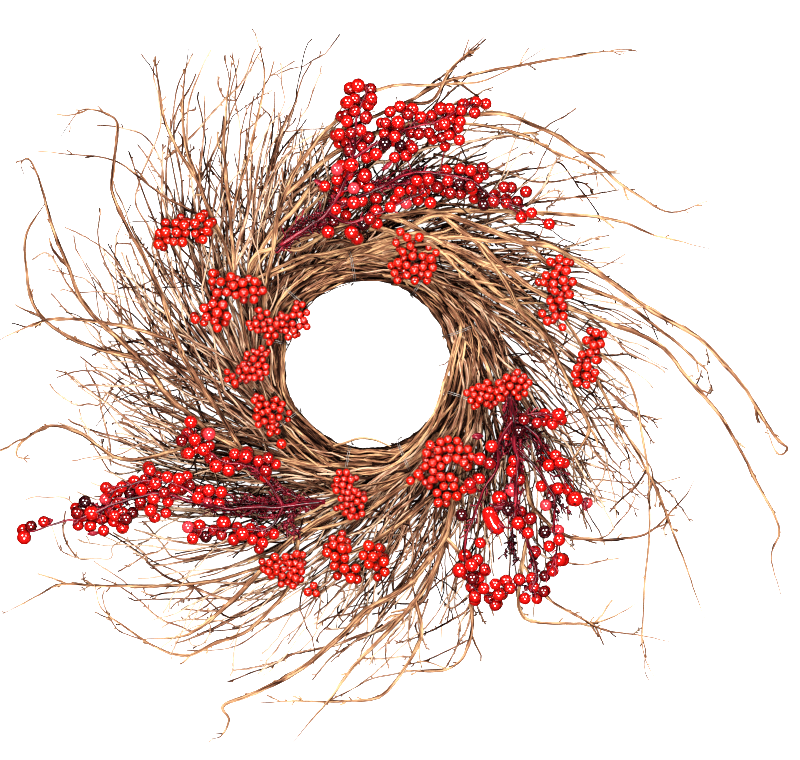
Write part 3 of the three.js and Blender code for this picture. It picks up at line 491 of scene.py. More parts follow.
def make_bark_effect():
    """Tone plus three noises gives a shade from 0 to 1, which picks between the three colours."""
    colours = [(name, "NodeSocketColor") for name in ("Dark", "Middle", "Pale")]
    group, given, result = new_group(
        "bark_effect", [("Grain", "NodeSocketVector"), ("Tone", "NodeSocketFloat"), *colours],
        [("Color", "NodeSocketColor"), ("Roughness", "NodeSocketFloat"), ("Height", "NodeSocketFloat")])
    grain = given.outputs["Grain"]
    stretches, fibres, peel = (noise_node(group, grain, *noise) for noise in (STRETCHES, FIBRES, PEEL))
    shade = add_swing(group, given.outputs["Tone"], stretches, STRETCH_SWING)
    shade = add_swing(group, shade, fibres, FIBRE_SWING)
    shade = math_node(group, "ADD", shade, range_node(group, peel, *PEEL_EDGE, 0.0, PEEL_LIFT))
    lower = blend_node(group, range_node(group, shade, *DARK_TO_MIDDLE), given.outputs["Dark"],
                       given.outputs["Middle"])
    whole = blend_node(group, range_node(group, shade, *MIDDLE_TO_PALE), lower, given.outputs["Pale"])
    group.links.new(whole, result.inputs["Color"])
    group.links.new(range_node(group, fibres, *FIBRE_ROUGHNESS), result.inputs["Roughness"])
    group.links.new(math_node(group, "ADD", fibres, math_node(group, "MULTIPLY", peel, PEEL_HEIGHT)),
                    result.inputs["Height"])
    return group


BARK_EFFECT = make_bark_effect()
print("bark effect:", len(BARK_EFFECT.nodes), "nodes")


# %% A material that places an effect
def effect_material(name, effect, colours, values, bump=None):
    """A material that places a shared effect, with its own colours. The effect's Place is the
    object's coordinates, and its other inputs are the values of that name on the corners. Its
    outputs go to the shader, the height through a bump of the given strength and distance."""
    material = new_material(name, values)
    tree = material.node_tree
    shader = tree.nodes["Principled BSDF"]
    placed = tree.nodes.new("ShaderNodeGroup")
    placed.node_tree = effect
    for socket in placed.inputs:
        if socket.name in colours:
            socket.default_value = (*colours[socket.name], 1)
        elif socket.name == "Place":
            tree.links.new(tree.nodes.new("ShaderNodeTexCoord").outputs["Object"], socket)
        else:
            stored = tree.nodes.new("ShaderNodeAttribute")
            stored.attribute_name = socket.name.lower()
            tree.links.new(stored.outputs["Vector" if socket.name == "Grain" else "Fac"], socket)
    tree.links.new(placed.outputs["Color"], shader.inputs["Base Color"])
    if placed.outputs.get("Roughness"):
        tree.links.new(placed.outputs["Roughness"], shader.inputs["Roughness"])
    if bump:
        bumps = tree.nodes.new("ShaderNodeBump")
        bumps.inputs["Strength"].default_value, bumps.inputs["Distance"].default_value = bump
        tree.links.new(placed.outputs["Height"], bumps.inputs["Height"])
        tree.links.new(bumps.outputs["Normal"], shader.inputs["Normal"])
    return material


# %% Bark materials
BARK_SPECULAR = 0.08
BARK_DEPTH = 0.0006


def bark_material(name, dark, middle, pale, bump=0.5, coat=0.0):
    """Bark: the bark effect with its own three colours."""
    return effect_material(name, BARK_EFFECT, {"Dark": dark, "Middle": middle, "Pale": pale},
                           {"Specular IOR Level": BARK_SPECULAR, "Coat Weight": coat}, (bump, BARK_DEPTH))


TWIG_BARK = bark_material("twig_bark", (0.014, 0.0045, 0.003), (0.235, 0.103, 0.060),
                          (0.64, 0.44, 0.30))
VINE_BARK = bark_material("vine_bark", (0.020, 0.007, 0.004), (0.240, 0.106, 0.058),
                          (0.63, 0.39, 0.205))
SPRAY_STEM = bark_material("spray_stem", (0.016, 0.001, 0.002), (0.165, 0.005, 0.017),
                           (0.38, 0.030, 0.050), bump=0.3, coat=0.5)
CLUSTER_STEM = bark_material("cluster_stem", (0.030, 0.012, 0.012), (0.12, 0.045, 0.035),
                             (0.30, 0.13, 0.10), bump=0.3)
print("bark materials:", [bark.name for bark in (TWIG_BARK, VINE_BARK, SPRAY_STEM, CLUSTER_STEM)])

# %% [markdown]
# ## Berries and wire
#
# The berries are lacquered: a saturated red under a clear coat that mirrors the lamps. `tone` runs from 0,
# nearly black burgundy, over 0.5, plain red, to 1, a pinkish colour that is painted glare, and a faint noise
# keeps two neighbours from being the same. The eye of the berry is a small dark dot where `mark` is high.

# %% Berry skin effect
CLOUDS = (0.35, (1.0, 1.0, 1.0), 2.0)
CLOUD_SWING = 0.25
DARK_TO_RIPE = (0.0, 0.42)
RIPE_TO_PINK_GLARE = (0.62, 1.0)
EYE_EDGE = (0.25, 0.6)
EYE = (0.05, 0.006, 0.005)
BERRY_SHADER = {"Roughness": 0.3, "Specular IOR Level": 0.0, "Coat Weight": 1.0, "Coat Roughness": 0.05}
BERRY_BUMP = (0.08, 0.001)


def make_berry_effect():
    """Tone below a half mixes dark into ripe, and above a half mixes a pinkish painted glare into it. The
    eye comes on top."""
    colours = [(name, "NodeSocketColor") for name in ("Burgundy", "Ripe", "Blush", "Eye")]
    group, given, result = new_group(
        "berry_skin_effect", [("Grain", "NodeSocketVector"), ("Tone", "NodeSocketFloat"),
                              ("Mark", "NodeSocketFloat"), *colours],
        [("Color", "NodeSocketColor"), ("Height", "NodeSocketFloat")])
    cloud = noise_node(group, given.outputs["Grain"], *CLOUDS)
    tone = add_swing(group, given.outputs["Tone"], cloud, CLOUD_SWING)
    dark = blend_node(group, range_node(group, tone, *DARK_TO_RIPE), given.outputs["Burgundy"],
                      given.outputs["Ripe"])
    with_pink_glare = blend_node(group, range_node(group, tone, *RIPE_TO_PINK_GLARE), dark, given.outputs["Blush"])
    eyed = blend_node(group, range_node(group, given.outputs["Mark"], *EYE_EDGE), with_pink_glare,
                      given.outputs["Eye"])
    group.links.new(eyed, result.inputs["Color"])
    group.links.new(cloud, result.inputs["Height"])
    return group


BERRY_EFFECT = make_berry_effect()


def berry_material(name, burgundy, ripe, blush, lacquer):
    """A berry: the berry skin effect with its own colours, under a coat with the given IOR."""
    colours = {"Burgundy": burgundy, "Ripe": ripe, "Blush": blush, "Eye": EYE}
    values = {**BERRY_SHADER, "Coat IOR": lacquer}
    return effect_material(name, BERRY_EFFECT, colours, values, BERRY_BUMP)


# The third colour of each berry is a pinkish painted glare
SPRAY_BERRY = berry_material("spray_berry", (0.024, 0.001, 0.004), (0.57, 0.006, 0.004),
                             (0.70, 0.050, 0.070), 2.2)
CLUSTER_BERRY = berry_material("cluster_berry", (0.10, 0.002, 0.002), (0.56, 0.009, 0.001),
                               (0.78, 0.035, 0.020), 2.0)
print("berry skin effect:", len(BERRY_EFFECT.nodes), "nodes")

# %% Wire
BLOTCHES = (260.0, (1.0, 1.0, 1.0), 4.0)
BLOTCH_EDGE = (0.35, 0.65)
BLOTCH_ROUGHNESS = (0.3, 0.7, 0.28, 0.6)


def make_tarnish_effect():
    """A noise on the object's own coordinates gives grey blotches, and a roughness to match."""
    group, given, result = new_group(
        "tarnish_effect", [("Place", "NodeSocketVector"), ("Bright", "NodeSocketColor"),
                           ("Dull", "NodeSocketColor")],
        [("Color", "NodeSocketColor"), ("Roughness", "NodeSocketFloat")])
    blotches = noise_node(group, given.outputs["Place"], *BLOTCHES)
    share = range_node(group, blotches, *BLOTCH_EDGE)
    group.links.new(blend_node(group, share, given.outputs["Bright"], given.outputs["Dull"]),
                    result.inputs["Color"])
    group.links.new(range_node(group, blotches, *BLOTCH_ROUGHNESS), result.inputs["Roughness"])
    return group


TARNISH_EFFECT = make_tarnish_effect()


def wire_material(name, bright, dull):
    """A metal: the tarnish effect with its own two colours."""
    return effect_material(name, TARNISH_EFFECT, {"Bright": bright, "Dull": dull}, {"Metallic": 1.0})


STEEL = wire_material("galvanised_wire", (0.78, 0.80, 0.82), (0.50, 0.52, 0.54))
BINDING = wire_material("binding_wire", (0.50, 0.48, 0.46), (0.22, 0.20, 0.19))
print("materials:", len(bpy.data.materials))

# %% [markdown]
# ## The bundle round the ring
#
# The core of the wreath is a bundle of long vines laid round a steel ring, inside it and outside
# it. A bundle could be one textured ring, but then its edge is too smooth and nothing crosses.
# Here each vine has its own start, arc and place in the bundle's cross-section. It drifts round
# that section as it goes, so vines rise, sink and cross as wound ones do.

# %% Vines wound round the ring
ROPE_STEPS = 44
ROPE_COUNT = 165
INNER_ROPE = {"radius": 82.2, "half_width": 6.0, "z": 19.0, "half_height": 13.6, "seed": 11}
OUTER_ROPE = {"radius": 96.5, "half_width": 7.6, "z": 20.0, "half_height": 13.4, "seed": 12}
ROPE_ARC = (0.8, 2.8)
ROPE_THICK = (0.6, 2.0)
ROPE_TURN = 1.5
ROPE_TUCK = 0.35
ROPE_CORE = 0.12
ROPE_TAPER = 0.25
ROPE_STUBS = {"count": 120, "length": (3, 10), "spread": (0.25, 0.9), "steps": 4}
# Painted shade: the tone at the height of the rope's top is this much more than at its foot, so the lower
# vines come out darker as if the vines above kept the light off
ROPE_TOP = 33
PAINTED_DEPTH_SHADE = 0.70
DARK_SHARE = 0.5
DARK_TONE, PLAIN_TONE = -0.42, 0.02
TONE_SPREAD = 0.10


def polar(radius, clockwise, z):
    """Points at a radius and a clockwise angle from the top: (r sin a, r cos a, z)."""
    return np.stack(np.broadcast_arrays(radius * np.sin(clockwise), radius * np.cos(clockwise), z), axis=-1)


def rope_vines(rope):
    """Vines round the ring. A vine's place in the section is rho at the angle phi, with
    r = radius + half_width * rho * cos phi and z = middle + half_height * rho * sin phi, and phi
    and the angle round the wreath both grow evenly along it. Its ends tuck in towards the middle.
    The tone grows with the fifth power of the height, which paints shade onto the lower vines, and some
    vines are dark all along."""
    rng = np.random.default_rng(rope["seed"])
    count = ROPE_COUNT
    u = np.linspace(0, 1, ROPE_STEPS)
    start = 2 * np.pi * (np.arange(count) + rng.random(count)) / count
    arc = rng.uniform(*ROPE_ARC, count)
    rho = np.sqrt(rng.uniform(ROPE_CORE, 1, count))
    phi = rng.uniform(0, 2 * np.pi, count)
    turn = ROPE_TURN * rng.normal(size=count)
    section = phi[:, None] + turn[:, None] * u
    tuck = 1 - ROPE_TUCK * np.abs(2 * u - 1) ** 6
    points = polar(rope["radius"] + rope["half_width"] * rho[:, None] * tuck * np.cos(section),
                   start[:, None] + arc[:, None] * u,
                   rope["z"] + rope["half_height"] * rho[:, None] * tuck * np.sin(section))
    thick = ROPE_THICK[0] + (ROPE_THICK[1] - ROPE_THICK[0]) * rng.random(count) ** 2.2
    radius = thick[:, None] * (1 - ROPE_TAPER + ROPE_TAPER * np.cos(np.pi * (2 * u - 1) ** 3 / 2))
    radius = knotted(radius, rng, share=0.06, swell=0.25)
    points = sway(points, rng, size=0.018, waves=(70, 32, 15)) + 0.2 * rng.normal(size=points.shape)
    dark = np.where(rng.random((count, 1)) < DARK_SHARE, DARK_TONE, PLAIN_TONE)
    # Painted shade: the lower a vine lies in the bundle, the darker its tone
    tone = PAINTED_DEPTH_SHADE * (points[..., 2] / ROPE_TOP) ** 5 + dark + TONE_SPREAD * rng.normal(size=(count, 1))
    shells = [tubes(above_floor(points, radius), radius, tone, rng, sides=6, rough=0.16, flat=0.72)]
    return shells + [tubes(*forks(rng, points, radius, tone, **ROPE_STUBS), rng, sides=4)]

# %% [markdown]
# ## Steel ring and bindings
#
# The ring is one closed loop of thick wire. Each binding is thin wire that goes twice round the
# bundle, and its two ends are twisted together at the inner edge.

# %% Steel ring
RING = {"radius": 89.5, "z": 19.0, "wire": 1.4, "steps": 180, "sides": 10}


def closed_ring(ring):
    """A torus on a grid: u round the ring and v round the wire, with
    r = radius + wire * cos v and z = middle + wire * sin v."""
    u = 2 * np.pi * np.arange(ring["steps"]) / ring["steps"]
    v = 2 * np.pi * np.arange(ring["sides"]) / ring["sides"]
    corners = polar(ring["radius"] + ring["wire"] * np.cos(v), u[:, None],
                    ring["z"] + ring["wire"] * np.sin(v))
    here = np.arange(corners[..., 0].size).reshape(corners.shape[:2])
    ahead, up = np.roll(here, -1, axis=0), np.roll(here, -1, axis=1)
    walls = np.stack([here, up, np.roll(ahead, -1, axis=1), ahead], axis=-1).reshape(-1, 4)
    flat = corners.reshape(-1, 3)
    return {"corners": flat, "faces": [walls], "grain": flat, "tone": np.full(len(flat), 0.5),
            "mark": np.zeros(len(flat)), "skin": 0}


build_piece("steel_ring", [closed_ring(RING)], [STEEL], ["wire_ring"])

# %% Bindings
TIE_ANGLES = [350, 32, 70, 110, 158, 190, 234, 284, 313]
TIE = {"wire": 0.30, "radius": 89.1, "half_width": 15.3, "z": 19.0, "half_height": 16.4, "turns": 2.0,
       "steps": 96, "pitch": 1.6, "slant": 2.5}
TAIL = {"length": 7.0, "radius": 0.55, "turns": 3.0, "steps": 30, "rise": 9}


def binding(degrees, rng):
    """Two turns round the bundle: r and z run round a rounded box, cos and sin of the angle each
    raised to the power of a half, while the wire moves sideways by one pitch a turn. The tail is
    two helices a half turn apart."""
    clockwise = np.radians(degrees)
    t = 2 * np.pi * TIE["turns"] * np.linspace(0, 1, TIE["steps"]) + np.pi
    box = lambda x: np.sign(x) * np.sqrt(np.abs(x))
    points = polar(TIE["radius"] + TIE["half_width"] * box(np.cos(t)), clockwise,
                   TIE["z"] + TIE["half_height"] * box(np.sin(t)))
    along_ring = np.array([np.cos(clockwise), -np.sin(clockwise), 0])
    points = points + along_ring * (TIE["pitch"] * (t - t.mean()) / (2 * np.pi))[:, None]
    slant = rng.uniform(-TIE["slant"], TIE["slant"]) * np.sin(t)
    points = (points + along_ring * slant[:, None])[None]
    wires = [tubes(points, TIE["wire"], [0.5], rng, rough=0.0)]
    s = np.linspace(0, 1, TAIL["steps"])
    root = polar(TIE["radius"] - TIE["half_width"], clockwise, TIE["z"] + TAIL["rise"])
    lean = unit(along_ring * rng.uniform(-1, 1) + [0, 0, 1.0] - 0.25 * polar(1.0, clockwise, 0.0))
    side = unit(np.cross(lean, [1.0, 0.3, 0.2]))
    other = np.cross(lean, side)
    for half_turn in (0, np.pi):
        turn = 2 * np.pi * TAIL["turns"] * s + half_turn
        helix = (root + lean * (TAIL["length"] * s)[:, None]
                 + TAIL["radius"] * (np.cos(turn)[:, None] * side + np.sin(turn)[:, None] * other))
        wires.append(tubes(helix[None], TIE["wire"], [0.5], rng, rough=0.0))
    return wires


for number, degrees in enumerate(TIE_ANGLES, 1):
    build_piece(f"binding_{number}", binding(degrees, np.random.default_rng(40 + number)), [BINDING],
                [f"tie_wire_{number}"])

# %% [markdown]
# ## How the twigs run
#
# A twig leaves the ring almost along the circle and turns outwards more and more: about 12
# degrees from the circle at the ring and 55 degrees far out. Adding up the turn it makes for each
# millimetre outwards gives one curve, and every twig is a copy of it that starts somewhere else,
# with its own share of the turn.

# %% The spiral
TWIG_ANGLES = [(70, 8), (92, 12), (130, 40), (160, 50), (300, 55)]
RADII = np.arange(70, 421)
ROPE_EDGE = 92
SLOPE = np.radians(np.interp(RADII, *zip(*TWIG_ANGLES)))
TURN = np.concatenate([[0], np.cumsum(1 / (RADII * np.tan(SLOPE)))[:-1]])
TURN -= TURN[ROPE_EDGE - RADII[0]]
RUN = np.concatenate([[0], np.cumsum(1 / np.sin(SLOPE))[:-1]])
# How far twigs reach, as clockwise angle in degrees and radius
REACH = [(0, 240), (30, 255), (45, 235), (60, 215), (90, 208), (120, 252), (140, 262), (150, 243),
         (180, 238), (200, 270), (225, 285), (245, 278), (270, 280), (290, 278), (300, 272),
         (315, 290), (330, 303), (345, 280), (360, 240)]
SHEAVES = 12
LANE = 2 * np.pi / SHEAVES
BEND, KINK = 0.25, 0.12
JITTER = 0.15


def spiral_turn(radius):
    """How far a twig has turned clockwise since the rope's edge, in radians."""
    return np.interp(radius, RADII, TURN)


def reach_at(clockwise, table=REACH):
    """How far twigs reach in that direction."""
    return np.interp(np.degrees(clockwise) % 360, *zip(*table))


def spiral_twigs(rng, at, inner, outer, share, low, high, thick, steps):
    """Twigs on the spiral from radius inner to outer, with even steps along it.

    The clockwise angle is at + turn(inner) + share * (turn(r) - turn(inner)), and the height goes
    evenly from low to high. Then the twigs are made to wander.
    """
    u = np.linspace(0, 1, steps)
    run0, run1 = np.interp(inner, RADII, RUN)[:, None], np.interp(outer, RADII, RUN)[:, None]
    radius = np.interp(run0 + (run1 - run0) * u, RUN, RADII)
    first = spiral_turn(inner)[:, None]
    clockwise = at[:, None] + first + share[:, None] * (spiral_turn(radius) - first)
    points = polar(radius, clockwise, low[:, None] + (high - low)[:, None] * u)
    points = wander(points, rng, BEND, KINK) + JITTER * rng.normal(size=points.shape)
    thickness = knotted(taper(thick, steps), rng)
    return above_floor(points, thickness), thickness


print("turn at 230 mm, degrees:", np.degrees(spiral_turn(230)).round(1))

# %% Forks
FORK_JOINT = 13
FORK_RISE = 0.3
FORK_BACK = 0.35
FORK_JITTER = 0.1
FORK_SHADE = 0.12
THINNEST = 0.54


def forks(rng, points, radius, tone, count, length, spread, steps, slim=0.7, first=0.3):
    """Side twigs on given twigs. Each leaves a random step at an angle within spread, in radians,
    and curves back towards its parent's way: start + L (u * out + u^2 * back). It is as thick as
    the slim share of its parent, but no more than 0.55 + 0.03 * its length."""
    twig = rng.integers(len(points), size=count)
    step = rng.integers(int(points.shape[1] * first), points.shape[1] - 1, size=count)
    start = points[twig, step]
    ahead = unit(points[twig, step + 1] - points[twig, step - 1])
    side = unit(np.cross(ahead, [0.0, 0.0, 1.0])) * rng.choice([-1, 1], count)[:, None]
    angle = rng.uniform(*spread, count)[:, None]
    rise = rng.uniform(-FORK_RISE, FORK_RISE, count)[:, None] * [0, 0, 1.0]
    out = np.cos(angle) * ahead + np.sin(angle) * side + rise
    back = -FORK_BACK * np.sin(angle) * side
    u = np.linspace(0, 1, steps)[:, None]
    reach = rng.uniform(*length, count)[:, None, None]
    line = start[:, None] + reach * (u * out[:, None] + u ** 2 * back[:, None])
    line = wander(line, rng, BEND, KINK, FORK_JOINT) + FORK_JITTER * rng.normal(size=line.shape)
    thick = np.minimum(radius[twig, step] * slim, 0.55 + reach[:, 0, 0] * 0.03)
    thickness = knotted(taper(np.maximum(thick, THINNEST), steps, tip=0.7), rng)
    tone = np.broadcast_to(tone.reshape(len(points), -1), points.shape[:2])
    shade = np.clip(tone[twig, step] + FORK_SHADE * rng.normal(size=count), 0, 1)
    return above_floor(line, thickness), thickness, shade

# %% [markdown]
# ## The vines that show on the bundle
#
# Most of the bundle is random, but the vines on top of it are what the eye follows round the
# hole, so these are read from the picture too. Both ends of each dip under the others.

# %% Courses of the vines on top
# Each is (tone from 1 to 9, radius, height, course). A course lists its first place in plan, and
# then the step to each next one.
TOP_VINES = [
    (5, 2.0, 30, [-77,24, 0,-14, 0,-15, 1,-15, 5,-14, 7,-10]),
    (6, 1.5, 33, [-74,20, -1,-20, 0,-15, 4,-15, 5,-11]),
    (4, 1.2, 33, [-85,22, 1,-17, 2,-15, 0,-16]),
    (5, 1.3, 35, [-88,27, 1,-22, 1,-20, 2,-17]),
    (4, 1.0, 35, [-93,20, 1,-20, 3,-22]),
    (6, 1.1, 35, [-97,18, 1,-18, 3,-24]),
    (5, 1.5, 32, [-68,-40, 13,-12, 11,-10, 11,-9, 9,-9]),
    (3, 1.2, 33, [-72,-44, 12,-10, 10,-8, 10,-9, 10,-10]),
    (6, 1.1, 34, [-74,-50, 12,-10, 11,-10, 9,-9, 9,-11]),
    (7, 1.0, 35, [-76,-56, 12,-10, 10,-10, 10,-9, 10,-9]),
    (7, 1.0, 35, [-80,-60, 12,-11, 10,-10, 10,-8, 12,-7]),
    (5, 1.0, 34, [-84,-62, 10,-11, 10,-12, 12,-9]),
    (6, 1.5, 34, [-28,-77, 18,-2, 15,1, 15,-1, 14,-2]),
    (6, 1.4, 34, [-26,-82, 18,-1, 16,1, 18,-1]),
    (6, 1.1, 33, [-24,-86, 16,0, 18,-2, 12,-2]),
    (3, 1.6, 31, [-30,-92, 20,-3, 22,1, 14,3]),
    (7, 1.6, 36, [-38,-98, 23,-1, 20,2, 15,5, 12,7, 13,13, 10,12, 7,15, 5,15, 6,20]),
    (7, 1.4, 36, [-20,-98, 20,-1, 15,4, 13,6, 10,8, 10,11, 10,14]),
    (7, 1.6, 35, [18,-89, 12,9, 8,7, 10,11, 9,12, 6,13, 4,12, 4,15, 4,15, 4,15]),
    (6, 1.6, 34, [64,-36, 5,16, 4,15, 4,15, 3,12, 3,11]),
    (7, 1.6, 35, [67,-38, 7,20, 3,18, 4,15, 3,13, 0,12]),
    (6, 1.5, 35, [73,-36, 6,21, 3,15, 3,12, 2,14]),
    (6, 1.3, 35, [80,-34, 5,20, 1,14, 2,14, 2,16]),
    (5, 1.0, 33, [93,-22, 3,22, 0,12, -3,12]),
    (6, 1.3, 35, [72,-28, -6,-17, -6,-13, -10,-14]),
    (6, 1.2, 35, [79,-32, -6,-16, -7,-14, -8,-10]),
    (6, 1.2, 35, [86,-34, -5,-16, -4,-14]),
    (5, 0.9, 35, [102,-34, -6,-14, -10,-14]),
    (6, 2.2, 40, [84,-100, -16,-12, -13,-10, -15,-13, -15,-12, -20,-13, -20,-11]),
    (7, 1.9, 41, [60,-98, -22,-10, -18,-10, -20,-14, -20,-10, -25,-6, -21,-5]),
    (6, 1.4, 38, [34,-100, -22,-13, -22,-14, -18,-7]),
    (8, 0.9, 42, [-14,-117, -21,-7, -15,-9, -20,-10]),
    (5, 1.5, 36, [40,-98, -20,-7, -20,-4, -20,-1, -24,6]),
    (4, 1.4, 36, [30,-108, -22,-7, -22,-4, -22,5, -24,12]),
    (6, 1.2, 37, [-20,-106, -22,4, -22,9, -16,9]),
    (8, 1.8, 43, [-108,76, 3,14, 7,10, 10,3, 13,1, 13,0, 12,5, 12,9]),
    (8, 2.0, 42, [-106,82, 8,16, 8,14, 10,12, 10,10, 8,10, 10,14]),
    (8, 1.6, 41, [-100,76, 4,14, 12,16, 12,12, 10,11, 12,13, 14,12]),
    (6, 1.7, 41, [-104,74, 16,9, 16,7, 17,7, 15,2, 20,4, 20,5, 20,4, 14,1]),
    (6, 1.3, 39, [-100,70, 15,10, 17,8, 18,7, 14,3]),
    (2, 1.3, 35, [-97,66, 17,11, 20,8, 20,4, 18,-3]),
    (3, 1.8, 34, [-87,48, 15,12, 12,10, 15,8, 17,4, 16,-1]),
    (3, 1.6, 34, [-80,46, 12,11, 16,10, 14,7, 14,6]),
    (5, 1.4, 34, [-74,48, 14,12, 12,7, 13,5, 13,5, 12,2]),
    (5, 1.2, 33, [-64,54, 14,8, 10,3, 12,5, 12,6]),
    (4, 1.0, 31, [-17,76, 17,-1, 15,0, 15,-1]),
    (3, 1.7, 34, [-46,79, 16,4, 20,-1, 20,-2, 16,-2]),
    (2, 1.4, 34, [-34,90, 19,-3, 20,-2, 19,-3]),
    (6, 1.3, 36, [-24,95, 19,3, 15,-2, 16,-4]),
    (5, 1.1, 35, [-16,93, 21,-2, 19,-4]),
    (3, 1.4, 37, [-45,109, 25,2, 20,-6, 20,-4]),
    (5, 2.9, 42, [-4,128, 14,4, 16,-2, 14,-6, 12,-6]),
    (6, 2.4, 41, [2,122, 12,-1, 12,-4, 14,-6]),
    (5, 1.2, 33, [22,72, 13,-2, 11,-7, 8,-9, 8,-8, 8,-12]),
    (4, 1.3, 34, [28,78, 17,-6, 13,-10, 10,-12, 8,-14, 4,-12]),
    (6, 1.1, 36, [48,76, 14,-10, 12,-13, 10,-13, 8,-18]),
    (5, 1.3, 36, [60,72, 16,-12, 14,-16, 10,-20, 4,-16]),
    (4, 1.2, 37, [82,62, 16,-16, 12,-18, 6,-20, 2,-18]),
    (6, 1.2, 38, [92,62, 16,-14, 16,-12, 16,-14, 10,-14]),
]
print("vines read on top:", len(TOP_VINES))

# %% Vines on top of the bundle
VINE_SPAN_STEPS = 6
DIP = 9
TONE_STEP = 0.085


def course_places(course):
    """The places of a course: each is the first one plus all the steps up to it."""
    return np.cumsum(np.array(course, float).reshape(-1, 2), axis=0)


def vines_on_top(inside, rng):
    """The listed vines inside the steel ring, or those outside it. The height falls at both ends by
    DIP, with the fourth power of the way from the middle."""
    shells = []
    for tone, thick, z, plan in TOP_VINES:
        plan = course_places(plan)
        if (np.linalg.norm(plan, axis=1).mean() < RING["radius"]) == inside:
            height = z - DIP * np.linspace(-1, 1, len(plan)) ** 4
            line = curve_through(np.column_stack([plan, height])[None], VINE_SPAN_STEPS)
            line = sway(line, rng, size=0.008, waves=(40, 15))
            radius = knotted(np.full(line.shape[:2], thick), rng, share=0.1, swell=0.2)
            shells.append(tubes(line, radius, [TONE_STEP * tone], rng, sides=9, rough=0.16, flat=0.7))
    return shells


# %% Build the bundle
for side, rope, inside in (("inside", INNER_ROPE, True), ("outside", OUTER_ROPE, False)):
    shells = rope_vines(rope) + vines_on_top(inside, np.random.default_rng(rope["seed"] + 20))
    build_piece(f"vines_wound_{side}", shells, [VINE_BARK],
                ["inner_vine_rope" if inside else "outer_vine_rope"])
